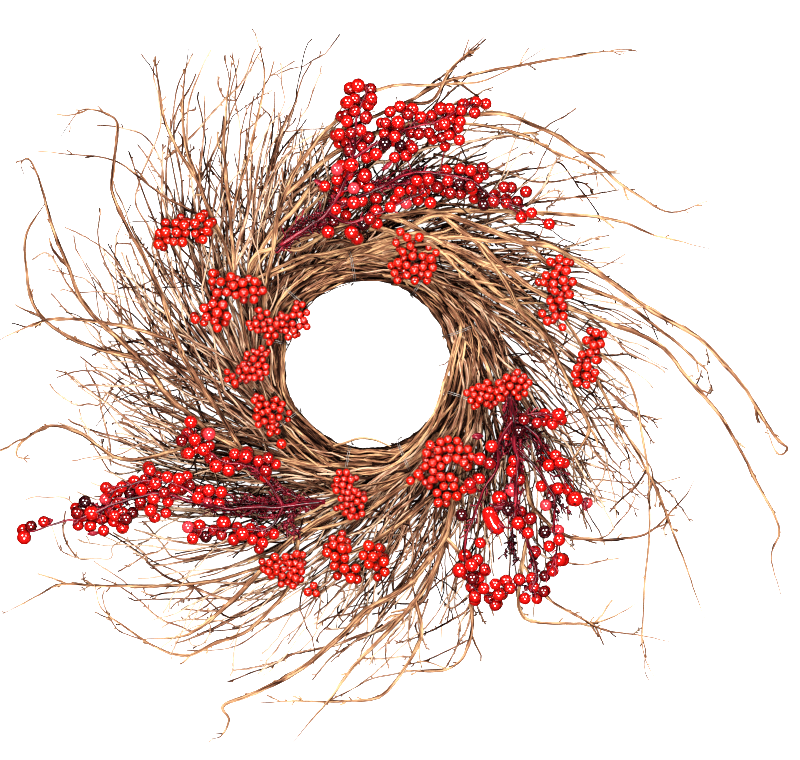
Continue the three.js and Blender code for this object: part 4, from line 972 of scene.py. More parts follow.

# %% [markdown]
# ## Long vines
#
# The vines that wander out furthest give the wreath its outline, so their courses are read from the picture,
# with a thickness at each end and a height at the tip. A course that starts on a place of an earlier one
# forks there. Any other comes out of the bundle along the spiral.

# %% Courses of the long vines
# Each is (thickness at root and tip, height at the tip, course), and golden lists the palest ones
VINES = {"right": {"z": 44, "golden": (0, 2, 3, 4, 6, 7, 9), "courses": [
    ((2.3, 1.1), 50, [66,134, 37,-12, 35,-12, 32,-7, 45,-27, 41,-29, 35,-19, 31,-29, 26,-35, 19,-31, 10,-9,
        -9,-4, -12,28]),
    ((1.8, 0.8), 47, [138,110, 27,-22, 24,-17, 39,-15, 38,-28, 34,-29, 6,-7]),
    ((2.0, 0.9), 45, [66,134, 34,-26, 30,-26, 35,-24, 50,-20, 45,-19, 32,-36, 29,-35, 24,-45, 24,-48,
        -6,-27, 8,-35]),
    ((2.4, 1.6), 51, [100,108, 20,-28, 18,-32, 24,-26, 13,-27, 18,-37, 6,-16, -6,-15, -10,-14]),
    ((2.0, 1.0), 44, [165,58, 25,-38, 17,-37, 25,-45, 24,-43, 21,-52, 16,-44, 10,-28]),
    ((1.6, 0.8), 46, [190,20, 19,-11, 25,-22, 13,-49, 7,-68, -6,-87, 0,-40, 14,-34]),
    ((2.8, 1.1), 42, [50,114, 20,-6, 14,-7, 16,-8, 20,-5, 20,-2, 20,-6, 18,-10]),
    ((2.2, 1.1), 40, [84,101, 16,-10, 13,-6, 12,-8, 9,-6, 14,-13]),
    ((2.4, 1.1), 36, [70,100, 15,-9, 12,-9, 9,-8, 12,-10, 14,-10, 18,-12, 11,-12, 11,-20]),
    ((2.0, 1.5), 47, [50,108, 12,-4, 13,-10, 10,-12, 12,-10, 16,-12, 15,-8, 14,-10, 13,-12, 8,-12]),
    ((1.8, 1.0), 40, [45,82, 17,-7, 13,-5, 12,-5, 13,-6, 18,-7, 16,-9, 16,-13, 10,-14]),
    ((2.1, 1.3), 44, [40,116, 20,-3, 20,0, 30,-3, 30,-1, 20,-4, 18,-8]),
]}, "top": {"z": 43, "golden": (0, 3, 5), "courses": [
    ((2.3, 0.8), 46, [-85,100, 10,50, 30,50, 53,45, 45,5, 55,5, 59,32]),
    ((1.8, 0.8), 44, [-45,200, 79,34, 43,21, 79,16, 49,8, 33,2]),
    ((1.5, 0.8), 50, [34,234, 25,3, 18,29, 29,28]),
    ((2.3, 0.9), 47, [-75,150, 55,45, 60,20, 63,9, 28,-3, 42,-19, 36,-26, 31,-24, 33,-16, 32,10]),
    ((1.8, 0.8), 43, [40,215, 60,-1, 38,-9, 35,-17, 29,-13, 7,-23]),
    ((2.2, 0.8), 44, [-85,100, 55,22, 70,13, 60,2, 54,-2, 64,-5, 42,-15, 48,-12]),
]}, "upper_left": {"z": 42, "golden": (), "courses": [
    ((1.7, 0.8), 46, [-118,70, -12,42, -22,23, -31,16, -42,31, -56,8, -26,1]),
    ((1.7, 0.8), 50, [-130,112, -20,48, -15,55, 5,68]),
    ((1.6, 0.8), 44, [-118,70, -4,60, -6,70, 8,80]),
    ((1.4, 0.8), 46, [-150,160, -30,55, -10,63]),
    ((1.35, 0.8), 47, [-122,130, 17,60, 13,60, -3,37]),
]}, "left": {"z": 44, "golden": (), "courses": [
    ((2.9, 1.0), 46, [-113,-77, -24,14, -23,18, -23,22, -20,27, -26,24, -24,25, -15,35, -15,38, -6,25,
        -12,31, -8,-2, 2,-12]),
    ((2.6, 1.0), 50, [-113,-77, -16,29, -28,42, -12,25, -13,37, -12,29, -18,34, -16,38, 5,53, -9,14, -25,3,
        -17,-24]),
    ((1.7, 1.0), 45, [-169,19, -43,13, -33,6, -36,2, -15,-3, -34,-16]),
    ((1.6, 0.8), 43, [-203,4, -31,7, -38,15, -28,28, -7,57, 18,34]),
    ((1.7, 0.8), 44, [-137,-63, -43,-17, -41,-6, -34,22, -26,8, -15,-4, -16,-13, -1,-11, 13,-2]),
]}, "lower_left": {"z": 42, "golden": (0,), "courses": [
    ((2.2, 0.9), 44, [-60,-150, -33,-32, -24,-25, -29,-26, -23,-11, -34,-3]),
    ((1.8, 0.8), 46, [-60,-150, -10,-50, -35,-38, -33,-14, -25,-10, -26,8, -45,31, -11,27]),
    ((1.7, 0.9), 43, [-93,-182, -47,-13, -45,-4, -45,0, -44,1, -24,-11, -32,-17]),
]}, "bottom": {"z": 43, "golden": (1,), "courses": [
    ((2.9, 1.0), 45, [69,-153, -20,-30, -21,-21, -33,-20, -24,-25, -43,-32, -33,-15, -24,-11, 5,-12, -7,-14,
        -9,-3]),
    ((2.4, 0.9), 49, [69,-153, -8,-31, -17,-27, -24,-27, -32,-33, -23,-31, -32,-37]),
    ((1.6, 0.8), 43, [44,-211, 4,-36, -26,-42, -18,-12, -23,-2, -39,0, -42,-1]),
    ((1.5, 0.8), 44, [69,-153, 24,-32, 0,-29, 1,-24, -8,-25, -19,-12, -33,1]),
]}, "lower_right": {"z": 42, "golden": (), "courses": [
    ((1.9, 0.8), 44, [140,-100, 10,-30, 28,-24, 24,-3, 26,0, 26,7, 29,29, 10,17]),
    ((1.7, 0.8), 43, [150,-130, -10,-50, -2,-41, 18,-10, 35,-1, 27,4, 30,18]),
    ((1.4, 0.8), 46, [140,-180, 22,-30, 24,-15, 24,-13, 28,-5, 38,-7]),
]}}
print("long vines read:", sum(len(group["courses"]) for group in VINES.values()))

# %% Build the long vines
LEAD_RADII = (90, 104, 124)
LEAD_GAP = 8
LEAD_HEIGHT = 26
VINE_SWELL = 1.1
TIP_TAPER = 0.6
GOLDEN_TONE = 0.52
BROWN_TONES = (0.34, 0.62)
VINE_SIDES = {"count": 2, "length": (10, 35), "spread": (0.3, 0.8), "steps": 10}
VINE_SPURS = {"count": 6, "length": (3, 9), "spread": (0.5, 1.2), "steps": 4}


def lead_in(first, z, lead_radii=LEAD_RADII):
    """Points that bring a line along the spiral from the bundle to its first listed point."""
    radius, clockwise = np.hypot(*first), np.arctan2(*first)
    radii = np.array([r for r in lead_radii if r < radius - LEAD_GAP])
    if len(radii) == 0:
        radii = np.array([radius - LEAD_GAP / 2])
    turn = clockwise - spiral_turn(radius) + spiral_turn(radii)
    rise = (radii - radii[0]) / (radius - radii[0])
    return polar(radii, turn, LEAD_HEIGHT + (z - LEAD_HEIGHT) * rise)


def course_tree(courses, root_z, lead=True, power=2.0):
    """Centre lines of a tree of courses, with radii. The height goes evenly from that of the
    point where a course starts to the one at its tip. The radius falls with the way along it to
    the given power."""
    known = {}
    lines = []
    for (thick0, thick1), tip_z, plan in courses:
        plan = course_places(plan)
        start = known.get(tuple(plan[0]))
        z = np.linspace(root_z if start is None else start, tip_z, len(plan))
        for place, height in zip(plan, z):
            known.setdefault(tuple(place), height)
        points = np.column_stack([plan, z])
        radius = thick0 + (thick1 - thick0) * np.linspace(0, 1, len(plan)) ** power
        if start is None and lead:
            extra = lead_in(plan[0], root_z)
            points = np.concatenate([extra, points])
            radius = np.concatenate([np.full(len(extra), thick0), radius])
        line = curve_through(points[None], VINE_SPAN_STEPS)
        steps = np.linspace(0, 1, len(radius))
        lines.append((line, np.interp(np.linspace(0, 1, line.shape[1]), steps, radius)[None]))
    return lines


def long_vines(group, rng):
    """The vines of one group with their side twigs and spurs."""
    shells = []
    for index, (line, radius) in enumerate(course_tree(group["courses"], group["z"])):
        line = sway(line, rng, size=0.008, waves=(50, 18))
        tip = 1 - TIP_TAPER * np.linspace(0, 1, radius.shape[1]) ** 6
        radius = knotted(VINE_SWELL * radius * tip, rng, share=0.12, swell=0.28)
        tone = np.array([GOLDEN_TONE if index in group["golden"] else rng.uniform(*BROWN_TONES)])
        shells.append(tubes(line, radius, tone, rng, sides=9, rough=0.17, flat=0.7))
        for kind in (VINE_SIDES, VINE_SPURS):
            shells.append(tubes(*forks(rng, line, radius, tone, **kind), rng, sides=4))
    return shells


for number, (side, group) in enumerate(VINES.items()):
    build_piece(f"vines_{side}", long_vines(group, np.random.default_rng(300 + number)), [VINE_BARK],
                [f"long_vines_{side}"])

# %% [markdown]
# ## Twigs read from the picture
#
# Random twigs give the wreath its mass, but the eye knows an outline by its strays. So the twigs that stand
# out are read, like the long vines, from the root to the tip. One that starts on an earlier line forks
# there, at its height. Any other comes along the spiral from the bundle.
# Paler ones lie higher, where the light reaches them.

# %% Courses of the single twigs
# Each twig is (tone from 0 to 9, thickness at the root, course from root to tip)
TRACED = {"upper_left": [
    (4, 1.8, [-137,100, 3,15, 3,15, 3,15, 4,11, 3,9]),
    (4, 1.5, [-118,84, 1,16, 3,15, 5,15, 3,15, 1,20, 2,25]),
    (6, 1.5, [-106,84, 6,16, 4,15, 5,17, 3,18, 4,18, 8,16, 14,13, 20,11]),
    (5, 1.6, [-98,98, 6,15, 10,17, 8,12, 10,11, 14,10, 14,7]),
    (3, 2.2, [-138,52, -7,14, -3,18, -2,14, -3,14]),
    (6, 1.4, [-118,88, 8,16, 7,16, 4,18, 7,20, 12,24]),
    (5, 1.3, [-123,78, -1,18, 3,16, 4,12, 5,16]),
    (6, 1.0, [-193,100, 0,17, -15,25, 1,18, 11,28, 10,27, -2,25, -4,20, 2,17]),
    (2, 1.1, [-178,120, -3,45, 0,20, 5,37, 5,30, 13,30]),
    (2, 1.0, [-165,125, -3,40, -7,40, 2,23, 12,22, 6,13]),
    (6, 1.1, [-152,120, -4,30, -6,45, 2,41, 12,32, 8,15]),
    (2, 0.9, [-178,200, 8,18, 7,10, 8,3]),
    (4, 1.0, [-183,105, -3,35, 1,38, -15,27, -25,9, -19,1]),
    (1, 1.0, [-180,100, -10,24, -13,31, -14,39]),
    (3, 1.0, [-165,125, -13,30, -15,23, -14,20]),
    (5, 1.1, [-183,185, 25,21, 30,33, 15,14, 13,31]),
    (2, 1.3, [-158,128, 3,27, 15,35, 16,35, 14,33, 15,29]),
    (3, 1.0, [-120,130, 3,35, 3,40, -5,35, 1,18, -4,22]),
    (3, 0.8, [-114,206, 8,28, 20,13]),
    (4, 0.9, [-148,130, -4,30, 4,30, 2,32, 0,20]),
    (5, 0.8, [-88,205, 4,17, 0,24]),
    (3, 1.1, [-98,140, 8,30, 10,35, 8,20]),
    (2, 1.0, [-95,150, 11,35, 5,23, 0,17]),
    (1, 1.0, [-92,165, 12,25, 20,25]),
    (3, 0.9, [-106,140, -3,40, 0,30]),
    (2, 0.8, [-122,150, -8,22, -5,18]),
    (1, 0.8, [-120,148, -15,20, -11,14]),
    (4, 0.7, [-113,208, 10,8, 11,12]),
    (4, 0.7, [-118,238, -10,2, -6,10, -1,10]),
    (3, 0.7, [-168,180, 3,8, 9,8]),
    (2, 0.8, [-178,190, 0,17, 0,15]),
    (4, 0.9, [-184,150, 0,35, 0,13]),
], "left": [
    (3, 1.0, [-195,40, -11,20, -14,24, -10,12, -12,11, -19,11, -13,6]),
    (4, 0.8, [-218,25, -4,17, -4,16, -4,17, -5,13, -5,13, -3,15, 1,13, 2,11]),
    (4, 0.8, [-240,36, -13,14, -15,20, -8,14, -8,12, -7,4, -11,-6]),
    (4, 1.0, [-195,10, -6,11, -11,14, -13,10, -10,10, -16,20, -13,5, -24,6]),
    (5, 0.8, [-200,52, -15,7, -23,6, -25,0, -13,3]),
    (4, 0.9, [-190,-20, -22,8, -13,8, -8,10, -7,15, -6,12, -22,12, -18,19]),
    (1, 1.3, [-190,12, -12,9, -18,-2, -10,-2, -20,-9]),
    (3, 0.9, [-205,45, -15,30, -5,11, -3,13, 1,18]),
    (1, 1.0, [-185,22, -7,13, -10,15, -8,15, -9,16, -9,16, -7,12]),
    (4, 0.7, [-198,55, -3,16, -3,15, -6,13, -4,9, -12,1]),
    (1, 0.9, [-180,72, -12,19, -10,15, -8,11, -4,9]),
    (2, 0.8, [-192,95, -17,17, -11,6]),
    (1, 0.8, [-176,55, -23,12, -9,6]),
    (4, 0.9, [-236,-8, -17,2, -11,-1, -16,-5]),
    (5, 1.1, [-178,-82, -17,17, -20,15, -20,15, -23,17, -12,9, -11,3]),
    (4, 1.0, [-229,-88, -2,13, -5,20, -4,17, -3,16, -9,16, -2,8]),
    (5, 0.9, [-187,-20, -15,1, -28,-1, -20,1, -11,-1]),
    (6, 0.6, [-232,-26, -6,-4, -5,-7, -8,1, -12,-1, -17,11, -6,8]),
    (6, 0.6, [-249,-66, -2,8, -5,8, -3,10]),
    (1, 1.1, [-182,-70, -6,12, -9,21, -2,13]),
    (3, 0.8, [-240,-40, 5,8, 5,10, 5,7, 5,3]),
    (3, 0.8, [-165,-96, -15,6, -20,-4, -18,-5, -14,2, -11,16, -8,13, -6,12]),
    (5, 0.8, [-178,-93, -16,4, -16,3, -13,2, -24,-2]),
    (3, 0.7, [-232,-92, -2,8, -5,8, -1,8]),
    (1, 1.3, [-170,-84, -12,10, -13,8, -15,7, -13,5, -9,0]),
    (1, 1.2, [-165,-88, -12,9, -13,11, -17,9, -19,8]),
    (1, 0.9, [-180,-84, -23,10, -12,2, -10,4, -4,8]),
    (1, 0.8, [-180,-92, -12,6, -11,10, -10,8]),
    (5, 0.8, [-250,-133, -22,12, -16,1, -12,0, -9,-3]),
    (6, 0.8, [-223,-161, -8,-14, -12,-1, -16,1, -10,3, -8,6, -6,19]),
    (4, 0.8, [-250,-176, -12,2, -12,20, 2,22]),
    (6, 1.2, [-120,-158, -21,-5, -20,2, -19,3, -14,5, -16,5]),
    (3, 0.9, [-170,-176, -15,14, -12,14, -6,6]),
    (5, 1.0, [-190,-182, -10,10, -15,12, -14,8]),
], "lower_left": [
    (4, 1.1, [-114,-179, -18,-6, -18,-4, -18,-5, -15,-5, -27,-3, -12,7, -25,17]),
    (4, 0.9, [-104,-213, -19,2, -18,-1, -18,0, -18,0, -24,-1, -7,-1, -8,3]),
    (4, 0.8, [-107,-198, -16,1, -18,0, -17,-5, -10,-3, -15,-2, -11,-2, -10,4]),
    (4, 1.0, [-150,-238, -9,-2, -9,4, -15,5, -12,8, -9,9, -22,15, -14,6]),
    (3, 1.0, [-158,-197, 2,-4, -5,-8, -11,-6, -5,-6]),
    (3, 1.2, [-122,-212, -14,3, -14,5, -18,7, -15,6, -14,11, -13,11, -12,9, -14,8]),
    (2, 1.0, [-118,-228, -23,12, -15,14, -14,13, -16,7, -15,8, -18,12]),
    (4, 0.8, [-179,-160, -7,-8, -13,-4, -11,-7, -14,-8]),
    (5, 0.8, [-111,-235, -12,0, -9,3, -18,1, -15,0, -11,-2, -9,-5]),
    (5, 0.8, [-132,-222, -8,0, -10,0, -15,1]),
    (5, 0.7, [-139,-223, -3,-8, 1,-7, -4,-11, -7,-5, -6,1, -3,4]),
    (2, 1.9, [-60,-196, -22,-13, -22,-13, -19,-8, -18,-10, -17,-7, -14,-5]),
    (4, 1.0, [-60,-222, -27,-12, -20,-15, -15,-7, -19,-3, -22,0]),
    (2, 1.0, [-60,-220, -22,-11, -14,-3, -11,-8]),
    (2, 0.9, [-80,-229, -24,-7, -18,-4, -21,-2]),
    (4, 0.7, [-203,-247, -19,7, -10,12, -6,16, 1,8]),
    (4, 0.6, [-248,-199, -7,4, -2,7]),
    (4, 0.6, [-245,-198, -7,-3, -8,-4]),
], "bottom": [
    (4, 1.6, [53,-209, -14,-12, -15,-12, -14,-8, -19,-5, -18,-7, -12,-3, -15,-3, -14,-3, -10,-6, -16,-4,
        -15,-3, -12,-1]),
    (2, 1.0, [-54,-259, -14,-3, -9,-4, -10,-7, -22,-8, -18,-7]),
    (1, 1.1, [14,-235, -10,-8, -11,-5, -14,-10, -12,-8, -10,-12, -7,-9]),
    (4, 1.1, [26,-227, -12,-9, -12,-7, -13,-7, -12,-10, -10,-9]),
    (3, 0.8, [14,-217, -19,-2, -10,-6, -12,-2, -10,-4, -8,-5]),
    (1, 1.0, [-19,-221, -8,-6, -8,-10, -7,-7, -4,-8]),
    (4, 0.8, [-45,-207, 3,-6, -4,-26]),
    (5, 0.8, [-5,-234, -8,-3, -24,-2]),
    (2, 0.8, [-31,-199, 8,-4, 2,-10, -4,-4, -2,-8, 5,-9]),
    (2, 0.9, [53,-215, -19,-2, -20,2, -16,-2, -17,-4]),
    (1, 1.2, [65,-158, -12,-10, -8,-12, -11,-16, -16,-15, -16,-12, -7,-6]),
    (1, 1.0, [55,-170, -12,-14, -17,-19, -12,-20, -10,-4]),
    (5, 0.8, [39,-226, -13,-15, -8,-9, -1,-14, 3,-10]),
    (5, 0.7, [34,-231, -2,-8, -14,-13, -12,-10, -4,-9]),
    (4, 0.9, [44,-211, -5,-15, -2,-22, 3,-11]),
    (5, 0.8, [40,-259, 1,-5, -11,0, -16,-2, -16,1, -7,-1]),
    (3, 0.9, [55,-212, -6,-17, -5,-6, 3,-13]),
    (3, 0.9, [49,-229, 0,-15, 5,-14]),
    (1, 1.1, [92,-217, -5,-7, -14,-9, -12,-7, -10,-5]),
    (4, 0.8, [51,-245, -12,-4, -13,-3]),
    (2, 0.8, [90,-210, -13,-10, -7,3]),
    (1, 0.9, [90,-248, -17,-10, -16,-8, -14,-5, -11,-3]),
    (5, 0.8, [94,-217, -4,-20, -7,-13, -8,-16, -6,-10]),
    (3, 1.0, [69,-275, -16,-1, -16,-1, -15,-3, -20,-5, -19,-10, -22,-12]),
    (5, 0.8, [90,-221, -6,-12, -3,-11]),
    (3, 0.9, [95,-205, 8,-22, 4,-8]),
    (2, 0.8, [92,-213, 3,-6, 4,-8]),
], "right": [
    (4, 1.2, [190,48, 15,-10, 11,-9, 10,-10, 10,-9, 24,-11, 9,-7]),
    (1, 0.9, [206,10, 8,-2, 12,0, 10,1, 8,-4]),
    (2, 1.0, [206,-35, 10,-3, 14,-1, 10,-5, 10,-2, 8,-5, 5,-7]),
    (4, 0.7, [250,-46, 6,-2, 7,-2]),
    (3, 1.1, [204,-13, 18,-16, 10,-10, 12,-6, 10,-8]),
    (4, 1.4, [224,-29, 10,-10, 10,-10, 8,-12, 7,-11]),
    (5, 1.0, [206,-12, 20,-10, 8,-5]),
    (2, 0.8, [206,-12, 8,-4, 11,3]),
    (2, 1.0, [208,-81, 6,-6, 18,-14, 16,-16, 9,-6]),
    (3, 0.9, [198,-69, 4,-8, 18,-20, 6,-8, 21,-16]),
    (2, 1.0, [252,-93, -10,-16, -16,-16, -7,-9]),
    (3, 0.7, [223,-130, 5,-5]),
    (4, 0.8, [184,-153, 12,-4, 12,0, 10,4, 7,9, 7,7, 8,12, 3,8]),
    (1, 1.0, [252,-99, 11,-9, 13,-11, 4,-7, 6,-6, 7,-11]),
    (5, 0.9, [176,-97, 16,-5, 14,-2, 20,-2, 18,-2, 20,1, 19,5]),
    (3, 0.8, [186,-112, 10,-4, 20,-6, 11,-3]),
    (4, 0.7, [208,-87, 6,-6, -2,-10, -6,-10, 0,-11]),
    (1, 0.8, [188,-85, 8,-10, 8,-12]),
    (4, 0.7, [186,-119, -4,-10, 0,-13]),
    (2, 0.8, [236,-81, -6,-8, -1,-10, 2,-10, 0,-12]),
    (5, 0.8, [252,-87, 6,-18, 3,-10, -1,-14]),
    (4, 1.3, [256,-105, 6,-10, 3,-10, 5,-14, -2,-10, 1,-7]),
    (3, 0.9, [227,-75, 9,-12, 2,-10, 4,-10]),
    (4, 1.1, [208,-47, 10,-8, 10,-10, 8,-12, 8,-10, 8,-12]),
    (3, 1.0, [194,-39, 12,-20, 8,-14, 6,-12, 10,-10]),
    (4, 0.6, [184,-155, 2,-9]),
    (4, 0.9, [156,-171, 22,-8, 18,-2, 16,3, 15,3]),
    (4, 0.7, [238,-243, 10,5]),
    (4, 0.8, [304,14, 2,-5, 3,-8]),
    (3, 0.8, [304,-31, 5,9, 2,0, -1,-5]),
    (4, 0.8, [300,-6, -1,-7, -3,-9]),
    (1, 0.8, [197,-47, 9,-2, 10,0, 8,-4, 8,-10]),
    (2, 0.8, [176,-63, 12,2, 12,4, 24,2, 12,-2]),
    (1, 0.9, [208,-13, -4,-12, -6,-4, -6,-12, -12,-6]),
    (1, 0.7, [210,-81, -6,-4, -12,-4, -2,-8]),
    (2, 0.9, [172,-81, 24,-8, 25,-8]),
    (1, 1.0, [200,92, 12,-10, 12,-8, 11,-8, 11,-9, 9,-15, 9,-21]),
], "top": [
    (2, 1.0, [41,237, 19,16, 9,7, 11,10, 15,13, 12,11]),
    (2, 0.7, [80,270, 11,8, 11,9]),
    (1, 0.9, [59,231, 12,24, 9,15]),
    (1, 1.0, [60,233, 6,4, 12,12, 17,15]),
    (3, 1.0, [60,231, 24,6, 14,6, 7,5, 9,3]),
    (5, 1.2, [60,200, 20,8, 16,4, 24,3, 19,0]),
    (3, 0.9, [70,210, 16,2, 16,-1, 14,-1, 14,-1, 11,0, 15,2, 11,8, 14,7, 8,6]),
    (4, 0.7, [147,210, 5,-5, 4,-4]),
    (6, 1.8, [-30,160, 35,21, 14,2, 18,7, 11,3, 18,4, 18,2, 18,3, 14,3, 14,0, 22,-6, 22,-13]),
    (5, 1.0, [74,176, 12,7, 19,13, 15,11, 7,4]),
    (3, 1.1, [60,172, 13,11, 5,4, 13,7, 20,7, 12,11]),
    (2, 0.9, [116,203, 14,3, 17,1]),
    (4, 0.9, [100,172, 16,5, 14,7, 11,6, 10,1]),
    (2, 1.1, [92,168, 15,2, 23,4, 15,2, 17,3]),
    (1, 0.8, [30,175, 10,5, 11,5, 13,2]),
    (3, 1.2, [60,190, 18,-3, 11,-4, 13,-3, 10,-3, 15,-4, 14,-5, 15,-3, 14,0, 18,4, 14,3, 11,1, 16,0]),
    (2, 1.3, [134,140, 13,5, 14,2, 16,2, 25,4, 15,3, 12,2]),
    (5, 0.8, [148,147, 15,3, 14,0, 15,0, 17,0]),
    (5, 1.2, [145,144, 11,12, 7,11, 5,13, 6,7]),
    (1, 0.9, [171,182, 6,-3, 11,-14, 5,-7, 15,-19, 4,-10]),
    (1, 0.9, [188,165, 9,-2, 6,-5, 2,-5]),
    (3, 0.9, [158,136, 5,6, 7,5, 8,11]),
    (5, 0.8, [143,142, 23,14, 9,0]),
    (3, 0.9, [145,131, 18,-1, 14,-2, 11,-3]),
    (1, 1.1, [116,129, 14,-5, 15,-7, 14,-6, 13,-5, 22,-8]),
    (1, 1.0, [102,120, 18,-2, 14,-1, 14,-2, 26,-7, 10,-3]),
    (1, 0.8, [138,120, 9,-1, 12,-4, 11,0]),
    (4, 1.0, [179,106, 13,3, 14,5, 13,2]),
    (5, 1.2, [48,115, 18,2, 18,3, 18,4, 18,7, 14,7]),
    (0, 1.2, [60,126, 15,5, 14,-2, 16,-5, 18,-4]),
    (0, 1.4, [78,113, 15,4, 18,-4, 18,2, 16,-4, 18,-7]),
    (0, 1.4, [84,106, 18,-5, 14,-7, 14,-2]),
    (0, 1.3, [109,111, 14,-5, 15,-9, 18,-2]),
    (5, 2.4, [51,111, 20,-3, 18,-7, 18,-9, 16,-9, 18,-11]),
    (5, 1.8, [66,95, 18,-2, 21,-1, 25,-4, 26,-4]),
    (6, 1.6, [53,111, 13,-10, 12,-11, 11,-11, 13,-11]),
    (5, 1.2, [-78,156, 11,12, 12,13, 9,9, 11,11, 7,10]),
    (2, 1.1, [-78,145, 11,9, 10,9, 13,11, 9,14, 9,7]),
    (5, 1.8, [-75,136, 15,11, 14,10, 15,13, 12,9, 16,2]),
    (2, 0.9, [-76,188, 7,13, 14,21]),
    (2, 0.9, [-84,200, 6,11, 6,14]),
    (5, 0.7, [-78,210, 18,1, 18,1, 21,-1]),
    (2, 0.9, [-67,188, 12,5, 23,13, 3,5]),
    (2, 0.7, [-64,161, -4,7, -1,13]),
    (1, 1.0, [-60,152, 18,16, 12,11, 9,11]),
    (1, 0.8, [23,169, 7,10, 3,7]),
    (4, 0.7, [46,179, 2,7, 2,6]),
    (2, 0.9, [19,174, 20,1, 20,3, 16,3, 18,-3, 27,-1]),
    (1, 1.2, [23,147, 25,0, 18,-3, 18,1, 18,-4, 18,-1]),
    (1, 1.1, [46,141, 13,-3, 16,-4, 5,-5]),
    (4, 0.7, [145,268, 7,-2]),
]}
print("single twigs read:", sum(len(twigs) for twigs in TRACED.values()))

# %% Place the single twigs
TRACED_SEED = 900
FORK_REACH = 4
TWIG_LEAD_RADII = (92, 106, 124, 148, 178, 212)
ROOT_HEIGHTS = (12, 24)
ROOT_RISE = 6
LOWEST_TIP = 6
TIP_RISE = 5
TIP_SPREAD = (-4, 6)
TWIG_SPAN_STEPS = 5
# The tone at 0, and how much each number of tone adds
TWIG_TONE = (0.14, 0.095)


def traced_lines():
    """Centre lines of the traced twigs, as a list for each sheaf of (line, thickness, tone).

    Its sheaf is the one whose twelfth of the circle holds the root. A twig that forks from no other
    starts at a random height plus ROOT_RISE for each millimetre of thickness. The height of the tip
    is LOWEST_TIP, plus TIP_RISE for each number of tone and each millimetre of thickness over the
    first, plus a random few millimetres.
    """
    rng = np.random.default_rng(TRACED_SEED)
    known = [line[0] for group in VINES.values()
             for line, _ in course_tree(group["courses"], group["z"])]
    sheaves = [[] for _ in range(SHEAVES)]
    for tone, thick, plan in sum(TRACED.values(), []):
        plan = course_places(plan)
        steps = np.concatenate(known)
        far = np.linalg.norm(steps[:, :2] - plan[0], axis=1)
        forked = far.min() < FORK_REACH
        root_z = steps[far.argmin(), 2] if forked else rng.uniform(*ROOT_HEIGHTS) + ROOT_RISE * thick
        tip_z = LOWEST_TIP + TIP_RISE * (tone + thick - 1) + rng.uniform(*TIP_SPREAD)
        points = np.column_stack([plan, np.linspace(root_z, tip_z, len(plan))])
        if not forked:
            points = np.concatenate([lead_in(plan[0], root_z, TWIG_LEAD_RADII), points])
        line = curve_through(points[None], TWIG_SPAN_STEPS)
        known.append(line[0])
        clockwise = np.arctan2(*line[0, 0, :2]) % (2 * np.pi)
        sheaves[int(clockwise / LANE)].append((line, thick, TWIG_TONE[0] + TWIG_TONE[1] * tone))
    return sheaves


TRACED_LINES = traced_lines()
print("traced twigs in each sheaf:", [len(lines) for lines in TRACED_LINES])

# %% [markdown]
# ## Twelve sheaves of twigs
#
# Each sheaf starts in its own twelfth of the circle. Its eight main twigs run where the packed
# solid has them, by the same rule and the same random numbers, and each is three thinner ones that
# wind round each other. Around them go finer twigs on the same spiral, their forks, curly twigs
# that cross them, and the short spurs that make dry twigs look brushy. Bark bleaches outwards.

# %% The main twigs of a sheaf
# A strand is (lane, height, share of the reach, thickness), and a side twig has the number of the
# station that it starts at before them
STATIONS = [106, 116, 132, 160, 205, 265, 330]
STRANDS = [(0.46, 22, 0.95, 4.6), (0.24, 9, 0.85, 4.0), (0.8, 30, 0.95, 4.0), (0.62, 11, 0.85, 4.0)]
SIDE_TWIGS = [(1, 0.3, 32, 1.0, 2.2), (2, 0.1, 8, 0.75, 1.8), (2, 0.64, 33, 0.9, 1.8),
              (2, 0.8, 7, 0.9, 1.8)]
BUTT_HEIGHT = 20
FOOT_SHEAVES = (0, 4, 8)
FOOT_SPAN = (131, 161)
FOOT_HEIGHT = 1.0
SEAT = 0.3
LEAST_RUN = 1.3
LAST_GAP = 8
MAIN_TIP = 0.65
DRIFT_OVER = 0.22
CLIMB = 1.6
HEIGHT_LIMITS = (2.6, 37)
# Least share of the listed reach, and how much a random number adds, for strands and side twigs
STRAND_REACH = (0.92, 0.16)
SIDE_REACH = (0.9, 0.15)
LANE_CHANGE = 0.06
HEIGHT_CHANGE = 2


def repeatable(seed):
    """Numbers between 0 and 1: the state is the last one times 16807, modulo 2^31 - 1."""
    state = seed
    while True:
        state = state * 16807 % 2147483647
        yield state / 2147483647


